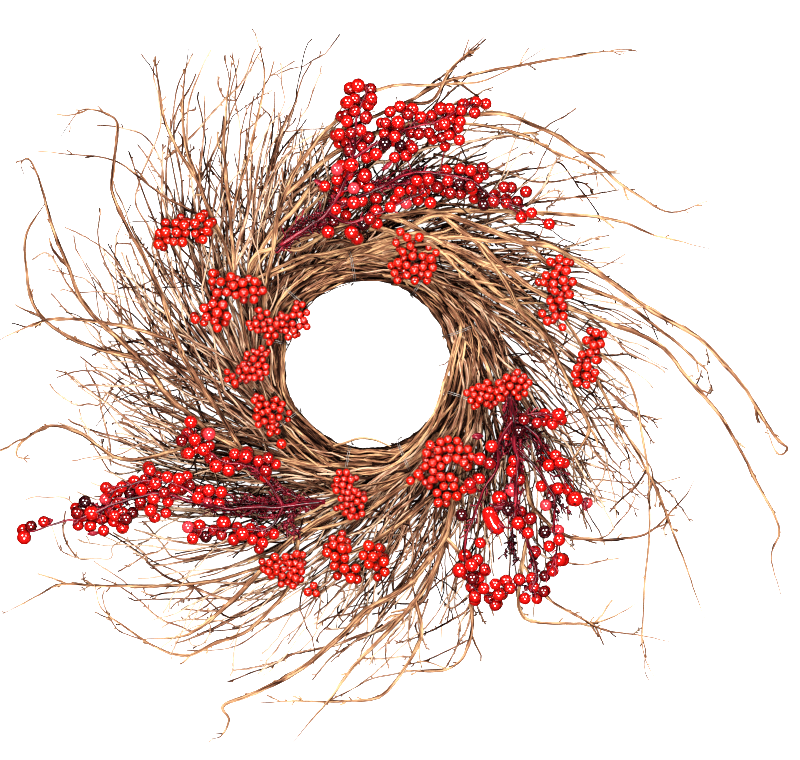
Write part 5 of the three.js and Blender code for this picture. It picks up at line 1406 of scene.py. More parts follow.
def main_twigs(number):
    """The centre lines and radii of a sheaf's four strands and their four side twigs.

    A twig bends only at the stations. It moves from its first lane to its own lane over the first
    fifth of its radius, and keeps clear of the edges of its twelfth.
    """
    draw = repeatable(101 + 7 * number)
    start_angle = LANE * number
    grown = []

    def grow(start, lane0, z0, lane, z, share, thick, foot):
        wanted = share * reach_at(start_angle + LANE * lane + spiral_turn(230))
        reach = max(wanted, STATIONS[start] * LEAST_RUN)
        radii = np.array([r for r in STATIONS if STATIONS[start] <= r < reach - LAST_GAP] + [reach])
        t = np.arange(len(radii)) / (len(radii) - 1)
        width = thick + (MAIN_TIP - thick) * t ** 0.6
        drift = np.clip((radii - radii[0]) / (DRIFT_OVER * radii[0]), 0, 1)
        drift = drift ** 2 * (3 - 2 * drift)
        slope = np.radians(np.interp(radii, *zip(*TWIG_ANGLES)))
        margin = np.minimum(0.5, (width + SEAT) / (radii * LANE * np.sin(slope)))
        lanes = np.clip(lane0 + (lane - lane0) * drift, margin, 1 - margin)
        lanes[0] = lane0
        height = np.clip(z0 + (z - z0) * np.minimum(1, CLIMB * t), HEIGHT_LIMITS[0] + width,
                         HEIGHT_LIMITS[1] - width)
        if foot:
            height = np.where((radii >= FOOT_SPAN[0]) & (radii <= FOOT_SPAN[1]), FOOT_HEIGHT, height)
        grown.append((lanes, polar(radii, start_angle + LANE * lanes + spiral_turn(radii), height), width))

    for i, (lane, z, share, thick) in enumerate(STRANDS):
        grow(0, lane, BUTT_HEIGHT, lane, z, share * (STRAND_REACH[0] + STRAND_REACH[1] * next(draw)), thick,
             i == 1 and number in FOOT_SHEAVES)
    for i, (start, lane, z, share, thick) in enumerate(SIDE_TWIGS):
        reach_share = share * (SIDE_REACH[0] + SIDE_REACH[1] * next(draw))
        own_lane = lane + LANE_CHANGE * (next(draw) - 0.5)
        own_z = z + HEIGHT_CHANGE * next(draw)
        lanes, points, _ = grown[i]
        grow(start, lanes[start], points[start, 2], own_lane, own_z, reach_share, thick, False)
    return [(points, width) for _, points, width in grown]


print("main twigs in a sheaf:", len(main_twigs(0)))

# %% Loose twigs
# For each kind: how many, the range of first radii, of reach shares and of thickness, steps, sides
MEDIUM = (23, (80, 118), (0.50, 0.98), (0.85, 1.8), 34, 6)
FINE = (16, (88, 150), (0.60, 1.02), (0.66, 1.0), 28, 5)
# The share of the loose twigs that each sheaf has, and how far they reach, as clockwise angle in
# degrees and radius
FULLNESS = [1.15, 0.45, 0.9, 0.65, 0.9, 1, 0.6, 1, 0.95, 0.4, 0.65, 1.0]
LOOSE_REACH = [(0, 215), (30, 245), (60, 228), (90, 268), (120, 266), (150, 255), (180, 276), (210, 314),
               (240, 285), (270, 252), (300, 262), (330, 262), (345, 235), (360, 215)]
# The spread of the share of the spiral's turn, the heights of the roots, how much the twigs rise,
# the limits of the tips' heights, and the least length
TURN_SPREAD = 0.48
LOOSE_ROOTS = (5, 34)
LOOSE_RISE = (-8, 12)
LOOSE_TIPS = (3, 40)
LEAST_LENGTH = 30
# Bark bleaches from the first radius over the next so many millimetres, and less round one
# direction, in degrees from +X, as wide as given
BLEACH = {"from": 120, "over": 110, "tone": 0.42, "fresh_at": 122, "fresh_width": 26, "fresh": 0.75}


def mixed_tone_and_depth_shade(low, rng):
    """The tone of loose twigs at a height: 0.06 + 0.56 * (height / 38)^1.4, which is painted shade that
    makes lower twigs darker, with a random spread.
    Most are mid brown. One in five is nearly black, and one in four is pale."""
    kind = rng.random(low.shape)
    tone = np.clip(0.06 + 0.56 * (np.abs(low) / 38) ** 1.4 + 0.07 * rng.normal(size=low.shape), 0, 1)
    return tone + np.where(kind < 0.2, -0.22, np.where(kind > 0.75, 0.24, 0.0))


def loose_twigs(rng, number, kind):
    """Twigs of one kind in one sheaf, spread over its twelfth at random."""
    count, first, share, thick, steps, _ = kind
    count = round(count * FULLNESS[number])
    at = LANE * (number + rng.random(count))
    inner = rng.uniform(*first, count)
    turn_share = np.exp(TURN_SPREAD * rng.normal(size=count))
    outer = rng.uniform(*share, count) * reach_at(at + spiral_turn(230), LOOSE_REACH)
    low = rng.uniform(*LOOSE_ROOTS, count)
    high = np.clip(low + rng.uniform(*LOOSE_RISE, count), *LOOSE_TIPS)
    thickness = thick[0] + (thick[1] - thick[0]) * rng.random(count) ** 2
    outer = np.maximum(outer, inner + LEAST_LENGTH)
    points, radius = spiral_twigs(rng, at, inner, outer, turn_share, low, high, thickness, steps)
    bleached = np.clip((np.hypot(points[..., 0], points[..., 1]) - BLEACH["from"]) / BLEACH["over"], 0, 1)
    direction = np.degrees(np.arctan2(points[..., 1], points[..., 0]))
    off = (direction - BLEACH["fresh_at"]) / BLEACH["fresh_width"]
    bleached *= 1 - BLEACH["fresh"] * np.exp(-off ** 2)
    # Painted shade: twigs with lower roots get a darker tone
    return points, radius, mixed_tone_and_depth_shade(low, rng)[:, None] + BLEACH["tone"] * bleached


print("loose twigs:", sum(round(kind[0] * share) for kind in (MEDIUM, FINE) for share in FULLNESS))

# %% Strands and crossing twigs
# For the thinner twigs that a main twig is split into: the way, in mm, over which they wind by one
# radian, their share of its thickness, and the thinnest
STRAND_TWIST = (18, 45)
STRAND_SHARE = (0.35, 0.52)
THINNEST_STRAND = 0.45
CROSSING = {"count": 22, "radius": (92, 190), "height": (12, 38), "angle": (-0.5, 2.0), "rise": 0.08,
            "length": (25, 95), "thick": (0.45, 0.85), "steps": 20, "tone": 0.14}


def twisted(line, radius, rng, count=3):
    """Splits a thick line into thinner ones that wind round each other inside it: each is moved off
    the middle by half the radius, at an angle that grows evenly along the line."""
    _, sideways, above = frames_along(line)
    angle = (rng.uniform(0, 2 * np.pi) + 2 * np.pi * np.arange(count)[:, None] / count
             + distance_along(line) / rng.uniform(*STRAND_TWIST))[..., None]
    offset = 0.5 * radius[..., None] * (np.cos(angle) * sideways + np.sin(angle) * above)
    share = rng.uniform(*STRAND_SHARE, (count, 1))
    return line + offset, np.maximum(share * radius, THINNEST_STRAND)


def crossing_twigs(rng, number):
    """Thin curly twigs across the others. Each starts straight, at a random angle from the circle,
    and is made to wander a lot."""
    count = CROSSING["count"]
    start = polar(rng.uniform(*CROSSING["radius"], count), LANE * (number + rng.random(count)),
                  rng.uniform(*CROSSING["height"], count))
    outward = unit(start * [1, 1, 0])
    round_ring = np.cross(outward, [0.0, 0.0, 1.0])
    angle = rng.uniform(*CROSSING["angle"], count)[:, None]
    rise = [0, 0, CROSSING["rise"]] * rng.normal(size=(count, 1))
    way = np.cos(angle) * round_ring + np.sin(angle) * outward + rise
    u = np.linspace(0, 1, CROSSING["steps"])[:, None]
    line = start[:, None] + rng.uniform(*CROSSING["length"], count)[:, None, None] * u * way[:, None]
    line = wander(line, rng, bend=0.55, kink=0.15, joint=10)
    radius = knotted(taper(rng.uniform(*CROSSING["thick"], count), len(u), tip=0.5), rng)
    tone = np.clip(CROSSING["tone"] + CROSSING["tone"] * rng.normal(size=count), 0, 1)
    return above_floor(line, radius), radius, tone


print("crossing twigs:", SHEAVES * CROSSING["count"])

# %% Build the sheaves
SHEAF_SEED = 700
SPLITS = {"count": 12, "length": (25, 95), "spread": (0.2, 0.75), "steps": 14, "slim": 0.8}
SPURS = {"count": 7, "length": (3, 12), "spread": (0.45, 1.15), "steps": 4, "slim": 0.7}
TRACED_SPURS = {"count": 4, "length": (2, 6), "spread": (0.5, 1.2), "steps": 4}
MAIN_PALER = 0.1
TRACED_SWELL = 1.05


def sheaf(number):
    """All the twigs of one sheaf as shells."""
    rng = np.random.default_rng(SHEAF_SEED + number)
    shells = []
    for points, width in main_twigs(number):
        line = curve_through(points[None], VINE_SPAN_STEPS)
        line = sway(line, rng, size=0.012, waves=(80, 35, 15))
        radius = np.interp(np.linspace(0, 1, line.shape[1]), np.linspace(0, 1, len(width)), width)[None]
        line, radius = twisted(line, radius, rng)
        # Painted shade: a main twig that starts lower gets a darker tone
        shells.append(tubes(above_floor(line, radius), knotted(radius, rng, share=0.1, swell=0.2),
                            mixed_tone_and_depth_shade(line[:, 0, 2], rng) + MAIN_PALER, rng, sides=6, rough=0.14, flat=0.8))
    shells.append(tubes(*crossing_twigs(rng, number), rng, sides=4))
    for kind in (MEDIUM, FINE):
        points, radius, tone = loose_twigs(rng, number, kind)
        shells.append(tubes(points, radius, tone, rng, sides=kind[5]))
        split_points, split_radius, split_tone = forks(rng, points, radius, tone, **SPLITS)
        shells.append(tubes(split_points, split_radius, split_tone, rng, sides=4))
        for parents in ((points, radius, tone), (split_points, split_radius, split_tone)):
            shells.append(tubes(*forks(rng, *parents, **SPURS), rng, sides=3))
    for line, thick, tone in TRACED_LINES[number]:
        line = sway(line, rng, size=0.005, waves=(40, 14)) + FORK_JITTER * rng.normal(size=line.shape)
        radius = knotted(taper([TRACED_SWELL * thick], line.shape[1], tip=0.72, power=2.0), rng)
        shells.append(tubes(above_floor(line, radius), radius, [tone], rng, sides=6, rough=0.14, flat=0.85))
        spurs = forks(rng, line, radius, np.array([tone]), **TRACED_SPURS)
        shells.append(tubes(*spurs, rng, sides=4))
    return shells


for number in range(SHEAVES):
    build_piece(f"twig_sheaf_{number + 1}", sheaf(number), [TWIG_BARK],
                [f"twig_bunch_{number + 1}"])

# %% [markdown]
# ## Berries
#
# A berry is turned from a profile: a circle with a small dent at the far end, where the eye is.
# It needs only a few dozen faces, because there are hundreds and smooth shading hides the rest.
# The places in plan are read from the picture. The heights can't be, so berries that press into each other
# are pushed apart, mostly up and down, until they only touch. The side that faces the floor gets a darker
# tone, a painted shade for the light that berries hanging close keep off each other.

# %% Berry shape
PROFILE_DEGREES = np.array([17, 48, 82, 116, 150])
AROUND = 9
DENT = 0.88
OBLATE = 0.95
# How much the tone falls on the side that faces down: painted shade
UNDERSIDE_PAINTED_SHADE = 0.6


def berries(centre, radius, axis, tone, rng, painted_shade_from=0.5):
    """Berries on a grid of polar angle and turn: radius * (sin p cos q, sin p sin q, cos p), with the height
    along the axis a little less, and the pole at the eye dented. The tone falls evenly with the height of
    the normal below the level that the last argument gives, which paints shade on the side that faces down."""
    p = np.radians(PROFILE_DEGREES)[:, None]
    q = 2 * np.pi * np.arange(AROUND) / AROUND
    rings = np.stack(np.broadcast_arrays(
        np.sin(p) * np.cos(q), np.sin(p) * np.sin(q), OBLATE * np.cos(p)), axis=-1)
    shape = np.concatenate([[[0, 0, DENT * OBLATE]], rings.reshape(-1, 3), [[0, 0, -OBLATE]]])
    axis = unit(axis)
    first = unit(np.cross(axis, [0.31, 0.83, 0.46]))
    frame_of = np.stack([first, np.cross(axis, first), axis], axis=1)
    corners = centre[:, None] + radius[:, None, None] * (shape @ frame_of)
    here = 1 + np.arange(len(PROFILE_DEGREES) * AROUND).reshape(-1, AROUND)
    turned = np.roll(here, -1, axis=1)
    walls = np.stack([here[:-1], here[1:], turned[1:], turned[:-1]], axis=-1).reshape(-1, 4)
    top = np.stack([np.zeros(AROUND, int), here[0], turned[0]], axis=-1)
    base = np.stack([np.full(AROUND, len(shape) - 1), turned[-1], here[-1]], axis=-1)
    shift = (len(shape) * np.arange(len(centre)))[:, None, None]
    mark = np.zeros((len(centre), len(shape)))
    mark[:, 0] = 1
    grain = radius[:, None, None] * shape + rng.uniform(0, GRAIN_SHIFT, (len(centre), 1, 3))
    upwards = (shape @ frame_of)[..., 2]
    # Painted shade: the tone falls on the side of each berry that faces down
    tone = tone[:, None] - UNDERSIDE_PAINTED_SHADE * np.clip(painted_shade_from - upwards, 0, 1)
    return {"corners": corners.reshape(-1, 3),
            "faces": [(walls + shift).reshape(-1, 4),
                      (np.concatenate([top, base]) + shift).reshape(-1, 3)],
            "grain": grain.reshape(-1, 3), "tone": tone.ravel(), "mark": mark.ravel(), "skin": 1}


print("faces of a berry:", AROUND * (len(PROFILE_DEGREES) + 1))

# %% Berries that touch
TOUCH = 0.96
PUSH = [0.10, 0.10, 0.35]
ROUNDS = 60


def settle(centre, radius, low, high, fixed=0):
    """Pushes berries apart where they press into each other, in small steps, mostly in height. The
    first few, as many as fixed says, stay where they are."""
    for _ in range(ROUNDS):
        gap = centre[:, None] - centre[None]
        far = np.linalg.norm(gap, axis=-1) + 1e3 * np.eye(len(centre))
        press = np.maximum(0, TOUCH * (radius[:, None] + radius[None]) - far)
        push = (gap / far[..., None]) * press[..., None] * PUSH
        centre = centre + push.sum(axis=1) * (np.arange(len(centre)) >= fixed)[:, None]
        centre[:, 2] = np.clip(centre[:, 2], low + radius, high - radius)
    return centre


pair = settle(np.array([[0, 0, 20], [4, 0, 22.0]]), np.array([5.0, 5.0]), 0, 60)
print("two berries of 5 mm radius settle this far apart, mm:", np.linalg.norm(pair[1] - pair[0]).round(1))

# %% Stalks
STALK_END = 0.8
STALK_BOW = 0.8


def nearest_on(lines, places):
    """For each place, the nearest step of the given lines."""
    steps = np.concatenate([line[0] for line in lines])
    far = np.linalg.norm(places[:, None] - steps[None], axis=-1)
    return steps[far.argmin(axis=1)]


def stalks(centre, radius, root, tone, rng, thick=0.5):
    """A thin stalk from the stem to the near side of each berry, bent a little on its way."""
    away = unit(centre - root)
    end = centre - away * radius[:, None] * STALK_END
    u = np.linspace(0, 1, 6)[:, None]
    bow = 4 * u * (1 - u) * rng.normal(size=(len(centre), 1, 3)) * STALK_BOW
    line = root[:, None] + (end - root)[:, None] * u + bow
    return tubes(line, thick, tone, rng, sides=4, rough=0.05)

# %% [markdown]
# ## The three large sprays
#
# A spray has a burgundy stem with a few branches, a tangle of fine beaded stems where it is wired
# in, and berries from nearly black to pinkish. Some berries have another one half hidden below
# them. Stems and berries are one mesh with two materials, because they hold together as one piece.

# %% Courses and berries of the sprays
# A stem is listed as a long vine is. berries lists the place of each berry, and dark, deep, pink and large
# list places near which the berries differ from the rest; the pink ones get a pinkish colour that is painted
# glare. A web is a bundle of beaded stems: how many, how far they spread at the end, and their course. A
# bract is a small leaf: its place, clockwise direction in degrees, and length.
SPRAYS = {"top": {"z": 58, "stems": [
    ((2.6, 1.1), 60, [-78,107, 23,15, 20,14, 13,24, 10,25, 2,27, 6,23, 5,17]),
    ((1.7, 0.9), 62, [-12,185, 24,15, 22,10, 22,5, 19,9, 20,8]),
    ((2.0, 0.9), 58, [-35,136, 30,14, 25,13, 30,9, 30,-4, 20,-8, 18,-13, 17,-7, 15,-6, 14,-8]),
    ((1.6, 0.9), 62, [-35,136, 17,-8, 23,6, 25,12, 22,10]),
], "berries": [-6,250, 1,248, 4,239, -17,235, -11,238, 1,233, -12,228, -18,224, -1,222, -18,218, -6,210,
    -23,207, -16,208, 1,204, -18,199, -6,195, -15,193, 8,189, 0,186, -23,178, -14,179, -2,169, -27,167,
    -27,174, -38,160, -26,155, 2,158, -12,158, 8,149, -5,147, -22,144, -12,145, -27,140, -19,134, 8,137,
    3,131, -4,125, -30,128, -35,119, -13,119, 21,227, 31,231, 40,228, 36,224, 17,217, 29,218, 27,212,
    17,207, 25,204, 47,223, 40,208, 16,198, 30,197, 25,186, 35,188, 41,194, 47,207, 55,208, 59,224, 66,229,
    74,230, 70,216, 75,221, 85,228, 88,233, 96,235, 97,226, 84,219, 81,212, 68,204, 75,206, 82,202, 21,141,
    27,148, 32,155, 37,156, 34,145, 46,165, 54,166, 52,156, 57,145, 63,159, 71,174, 73,164, 75,154, 84,153,
    84,175, 94,174, 103,176, 100,168, 93,160, 83,162, 104,152, 105,143, 115,146, 124,145, 124,159, 129,159,
    135,146, 143,155, 139,132, 148,136, 164,126],
    "dark": [-15,193, -4,125, -30,128, 16,198, 30,197, 83,162, 104,152, 105,143, 103,160, 98,150],
    "deep": [55,208, 41,194, 115,146, 124,145, 124,159, 129,159, 135,146, 143,155, 103,176, 75,154, -12,185,
        84,153],
    "pink_glare": [-12,158, 34,145, -27,174],
    "large": [-2,169, -13,119, -14,179, -6,250, 66,229],
    "webs": [
        (11, 9, [-82,101, 16,15, 16,12, 15,8]),
        (6, 9, [-35,136, 11,22, 10,22, 4,25]),
        (7, 7, [0,160, 22,4, 28,6]),
        (4, 8, [40,172, 34,-6, 30,-8]),
    ], "bracts": [(13, 174, 50, 13), (-38, 160, 300, 11)]
}, "lower_left": {"z": 56, "stems": [
    ((2.6, 1.1), 60, [-38,-124, -37,-4, -35,-2, -35,2, -35,10, -35,-4, -35,-14, -25,-7, -30,-8]),
    ((1.7, 0.9), 58, [-75,-128, -15,24, -14,12, -21,4, -25,14, -10,17]),
    ((1.7, 0.9), 58, [-75,-128, -10,-18, -20,-4, -25,2, -28,-2]),
    ((1.5, 0.9), 62, [-145,-128, -20,18, -25,6, -25,-4, -17,-9]),
], "berries": [-159,-54, -161,-61, -167,-69, -155,-68, -142,-63, -154,-75, -147,-77, -160,-80, -141,-85,
    -136,-92, -119,-81, -124,-95, -116,-91, -107,-84, -98,-87, -89,-85, -90,-90, -91,-96, -195,-96,
    -189,-101, -178,-102, -171,-103, -162,-102, -209,-106, -199,-106, -190,-108, -159,-109, -220,-112,
    -230,-115, -203,-113, -195,-114, -174,-113, -215,-115, -192,-118, -184,-116, -234,-123, -204,-124,
    -225,-125, -179,-123, -150,-115, -152,-120, -141,-114, -133,-115, -143,-124, -134,-125, -255,-125,
    -261,-129, -260,-134, -249,-134, -238,-139, -260,-145, -249,-146, -237,-150, -226,-137, -218,-139,
    -220,-147, -211,-134, -195,-132, -191,-138, -181,-134, -232,-132, -291,-142, -303,-147, -308,-155,
    -161,-147, -150,-147, -157,-157, -146,-154, -129,-143, -131,-154, -117,-147, -120,-158, -112,-153,
    -105,-148, -103,-158, -94,-151, -94,-161, -84,-153],
    "dark": [-167,-69, -215,-115, -255,-125, -260,-134, -211,-134, -218,-139, -303,-147, -146,-154,
        -159,-109],
    "deep": [-98,-87, -189,-101, -89,-85, -204,-124],
    "pink_glare": [-142,-63, -143,-124, -234,-123, -161,-147],
    "large": [-174,-113, -129,-143, -249,-134, -308,-155, -107,-84],
    "webs": [
        (13, 11, [-38,-124, -22,-2, -24,-4, -26,0]),
        (6, 6, [-60,-122, -20,13, -12,8, -11,9]),
        (8, 12, [-80,-128, -40,-2, -40,6]),
        (4, 5, [-65,-130, -1,-8, -2,-7, 6,-9]),
        (4, 9, [-185,-116, -30,-6, -35,-14]),
    ], "bracts": [(-282, -140, 250, 14), (-240, -152, 265, 12)]
}, "lower_right": {"z": 57, "stems": [
    ((2.6, 1.1), 60, [128,-28, 4,-22, 2,-25, 2,-25, -3,-25, 3,-20, 11,-20, 5,-25, -4,-16]),
    ((1.8, 0.9), 60, [132,-50, 18,-12, 13,-23, 15,-20, 12,-14, 8,-6]),
    ((1.7, 0.9), 62, [134,-75, 21,-23, 12,-22, 1,-30, 1,-25, -9,-17]),
    ((1.9, 0.9), 60, [132,-50, -14,-22, -2,-23, -12,-20, -10,-25, -6,-25, 2,-25, 10,-13, 18,-4, 16,5]),
    ((1.4, 0.9), 62, [132,-50, 18,5, 22,-3]),
    ((1.4, 3.4), 64, [133,-125, -9,-3, -11,-3]),
    ((4.6, 4.6), 66, [113,-131, 1,-9, 6,-9]),
], "berries": [160,-46, 172,-46, 175,-50, 167,-53, 153,-53, 124,-65, 112,-74, 103,-86, 109,-89, 132,-87,
    131,-96, 137,-104, 131,-113, 119,-121, 100,-104, 94,-107, 94,-112, 161,-83, 164,-91, 170,-83, 173,-88,
    157,-110, 161,-127, 172,-112, 181,-113, 187,-121, 198,-125, 85,-136, 127,-131, 138,-133, 136,-143,
    147,-139, 145,-152, 102,-161, 151,-169, 160,-151, 172,-150, 173,-158, 164,-164, 173,-176, 167,-186,
    159,-191, 159,-205, 89,-173, 86,-185, 93,-182, 98,-178, 104,-185, 95,-192, 100,-192, 95,-200, 97,-209,
    105,-202, 116,-200, 111,-211, 118,-206, 115,-216, 127,-196, 128,-201, 136,-194, 149,-194, 150,-200,
    144,-211, 151,-211, 141,-51, 131,-50, 147,-54, 137,-60],
    "dark": [141,-51, 131,-50, 147,-54, 137,-60, 85,-136, 127,-131, 160,-151, 159,-191, 159,-205, 95,-192,
        133,-80, 127,-140],
    "deep": [138,-133, 153,-53, 94,-107, 103,-125, 147,-139],
    "pink_glare": [161,-127, 198,-125, 172,-150, 131,-113],
    "large": [131,-113, 119,-121, 173,-176, 89,-173, 86,-185, 187,-121],
    "webs": [
        (14, 10, [128,-28, 2,-17, 3,-17, 1,-18]),
        (7, 8, [134,-75, 4,-20, -5,-23, 3,-22]),
        (6, 7, [130,-48, 16,-12, 14,-18, 12,-20]),
        (5, 6, [130,-55, -12,-17, -6,-20]),
        (3, 6, [172,-112, -2,-13, 7,-16]),
        (3, 5, [131,-150, -1,-15, 1,-14]),
        (3, 6, [147,-165, 3,-25, -10,-10]),
    ], "bracts": [(147, -56, 80, 9), (105, -65, 270, 11)]
}}

# The long fruit: its places, its height and its greatest radius
BEAN = ([(110, -128), (110.5, -136), (115, -145), (123, -151)], 69, 6.9)
print("berries read on the sprays:", sum(len(data["berries"]) for data in SPRAYS.values()) // 2)

# %% Places as the camera sees them
def plan_points(flat):
    """A flat list of places in plan as rows of two."""
    return np.array(flat, float).reshape(-1, 2)


def in_sight(points):
    """Moves places along their lines of sight. The plan is read as if all lay at TWIG_HEIGHT, and
    what lies higher shows further from the middle of the view."""
    plan, height = points[..., :2], points[..., 2:]
    share = (CAMERA_DISTANCE + TWIG_HEIGHT - height) / CAMERA_DISTANCE
    return np.concatenate([VIEW_MIDDLE + (plan - VIEW_MIDDLE) * share, height], axis=-1)


def level_course(plan, z, per_span):
    """A smooth curve through places at one height, as the camera sees them."""
    return curve_through(in_sight(np.column_stack([plan, np.full(len(plan), z)]))[None], per_span)


print("a place 60 mm up and 200 mm to the right goes to, mm:", in_sight(np.array([200.0, 0, 60])).round(1))

# %% Webs
WEB_STEPS = 30
BEAD_PITCH = 3.4
BEAD_SWELL = 0.4
BUD_SWELL = 2.4
WEB_THICK = (0.40, 0.80)
WEB_TONE = (-0.1, 0.55)
WEB_LAYERS = (-7, 5)
WEB_TWIGS = {"length": (3, 12), "spread": (0.4, 1.3), "steps": 7, "slim": 1.0, "first": 0.1}
WEB_BUDS = {"length": (2, 4.5), "spread": (0.3, 1.2), "steps": 4, "slim": 1.0, "first": 0.1}


def web(bundle, z, rng):
    """Beaded stems that run together and spread: each is the course plus a sideways shift that
    grows evenly to its own share of the spread. The radius swells with a sine along the stem."""
    count, spread, course = bundle
    line = level_course(course_places(course), z, 8)
    at = np.linspace(0, line.shape[1] - 1, WEB_STEPS).astype(int)
    line = np.repeat(line[:, at], count, axis=0)
    _, sideways, _ = frames_along(line)
    u = np.linspace(0, 1, WEB_STEPS)[:, None]
    own = rng.uniform(-1, 1, (count, 1, 1))
    line = line + spread * own * (0.15 + 0.85 * u) * sideways
    line[..., 2] += rng.uniform(*WEB_LAYERS, (count, 1)) * (0.3 + u[:, 0])
    line = sway(line, rng, size=0.06, waves=(42, 17, 8))
    phase = 2 * np.pi * distance_along(line) / BEAD_PITCH + rng.uniform(0, 6, (count, 1))
    radius = rng.uniform(*WEB_THICK, (count, 1)) * (1 + BEAD_SWELL * np.sin(phase))
    tone = rng.uniform(*WEB_TONE, count)
    twigs = forks(rng, line, radius, tone, 4 * count, **WEB_TWIGS)
    buds, thick, shade = forks(rng, line, radius, tone, 8 * count, **WEB_BUDS)
    return [tubes(line, radius, tone, rng), tubes(*twigs, rng, sides=4),
            tubes(buds, BUD_SWELL * thick, shade, rng)]


print("beaded stems:", sum(count for data in SPRAYS.values() for count, _, _ in data["webs"]))

# %% Bracts and the long fruit
BRACT_WIDTH = 0.26
BRACT_BOW = 1.5


def bract(x, y, clockwise, length, z, rng):
    """A small leaf: a short tube, wide in the middle by the sine of the way along, and flat."""
    u = np.linspace(0, 1, 9)
    angle = np.radians(clockwise)
    way = np.array([np.sin(angle), np.cos(angle), 0.25])
    bow = [0, 0, BRACT_BOW] * np.sin(np.pi * u)[:, None]
    line = in_sight(np.array([x, y, z])) + way * (length * u)[:, None] + bow
    radius = 0.3 + BRACT_WIDTH * length * np.sin(np.pi * u) ** 0.8
    return tubes(line[None], radius[None], [0.75], rng, sides=8, rough=0.03, flat=0.3)


def bean(course, z, thick, rng):
    """The long fruit: a tube with rounded ends, radius = thick * (1 - v^4)^(1/2) for v from -1
    to 1."""
    line = level_course(course, z, 6)
    v = np.linspace(-1, 1, line.shape[1])
    radius = thick * np.sqrt(np.maximum(1 - v ** 4, 0.003))
    return tubes(line, radius[None], [0.55], rng, sides=16, rough=0.0, skin=1)


print("bracts:", sum(len(data["bracts"]) for data in SPRAYS.values()))

# %% Build the sprays
SPRAY_BERRY_RADIUS = (5.4, 6.5)
LARGE_BERRY_RADIUS = (6.7, 7.4)
SPRAY_LAYERS = (-7, 12)
SPRAY_TOP = 78
# How far the berries, and those hidden below them, may sink below the spray's height
SPRAY_DEPTH = 12
HIDDEN_DEPTH = 18
STEM_LIFT = 6
STEM_SLIM = 0.85
STEM_TONE = (0.2, 0.5)
STEM_SPURS = {"count": 14, "length": (4, 14), "spread": (0.5, 1.3), "steps": 6}
SPUR_SLIM = 0.6
STALK_TONES = (0.2, 0.6)
WEB_DROP = 3
BRACT_LIFT = 4
EYE_SPREAD = 0.9
# The tone of a plain berry: its middle, random spread, least and most
PLAIN_BERRY = (0.43, 0.12, 0.22, 0.62)
# The pink tones give a pinkish colour that is painted glare
TONES = {"dark": (0.02, 0.17), "deep": (0.20, 0.30), "pink_glare": (0.85, 1.0)}
NEAR = 4
# A berry hidden below another: how many have one, its random shift, its drop, its size by that of the other,
# and its range of tones, darker on average as painted shade. A berry further than LONE_BERRY from all others
# has none.
HIDDEN = {"share": 0.4, "shift": 2.5, "drop": 9, "size": 0.95, "tone": (0.25, 0.5)}
LONE_BERRY = 15


def near(places, listed):
    """Which places are within NEAR of a listed one."""
    return np.linalg.norm(places[:, None] - plan_points(listed)[None], axis=-1).min(axis=1) < NEAR


def spray(data, rng):
    """Stems, webs, bracts, stalks and berries of one spray."""
    lines = course_tree(data["stems"], data["z"], lead=False, power=1.0)
    shells = []
    for line, radius in lines:
        bent = sway(in_sight(line + [0, 0, STEM_LIFT]), rng, size=0.02, waves=(40, 16))
        shells.append(tubes(bent, STEM_SLIM * radius, [rng.uniform(*STEM_TONE)], rng, sides=6))
        spurs = forks(rng, bent, SPUR_SLIM * radius, np.array([0.5]), **STEM_SPURS)
        shells.append(tubes(*spurs, rng, sides=4))
    for bundle in data["webs"]:
        shells += web(bundle, data["z"] - WEB_DROP, rng)
    shells += [bract(*leaf, data["z"] + BRACT_LIFT, rng) for leaf in data["bracts"]]
    plan = plan_points(data["berries"])
    count = len(plan)
    radius = rng.uniform(*SPRAY_BERRY_RADIUS, count)
    radius = np.where(near(plan, data["large"]), rng.uniform(*LARGE_BERRY_RADIUS, count), radius)
    middle, spread, least, most = PLAIN_BERRY
    tone = np.clip(middle + spread * rng.normal(size=count), least, most)
    for kind, (low, high) in TONES.items():
        tone = np.where(near(plan, data[kind]), rng.uniform(low, high, count), tone)
    centre = in_sight(np.column_stack([plan, data["z"] + rng.uniform(*SPRAY_LAYERS, count)]))
    centre = settle(centre, radius, data["z"] - SPRAY_DEPTH, SPRAY_TOP)
    gap = np.linalg.norm(centre[:, None] - centre[None], axis=2) + 1000 * np.eye(count)
    hidden = (rng.random(count) < HIDDEN["share"]) & (gap.min(axis=1) < LONE_BERRY)
    extra = hidden.sum()
    shift = np.column_stack([HIDDEN["shift"] * rng.normal(size=(extra, 2)), np.full(extra, -HIDDEN["drop"])])
    centre = np.concatenate([centre, centre[hidden] + shift])
    radius = np.concatenate([radius, HIDDEN["size"] * radius[hidden]])
    # Painted shade: the hidden berries get darker tones on average
    tone = np.concatenate([tone, rng.uniform(*HIDDEN["tone"], extra)])
    centre = settle(centre, radius, data["z"] - HIDDEN_DEPTH, SPRAY_TOP, fixed=count)
    count = len(centre)
    root = nearest_on([line for line, _ in lines], centre)
    axis = unit(centre - root) + EYE_SPREAD * rng.normal(size=(count, 3))
    shells.append(stalks(centre, radius, root, rng.uniform(*STALK_TONES, count), rng))
    shells.append(berries(centre, radius, axis, tone, rng))
    return shells


for number, (side, data) in enumerate(SPRAYS.items()):
    rng = np.random.default_rng(500 + number)
    shells = spray(data, rng)
    if side == "lower_right":
        shells.append(bean(*BEAN, rng))
    build_piece(f"spray_{side}", shells, [SPRAY_STEM, SPRAY_BERRY], [f"berry_spray_{side}"])
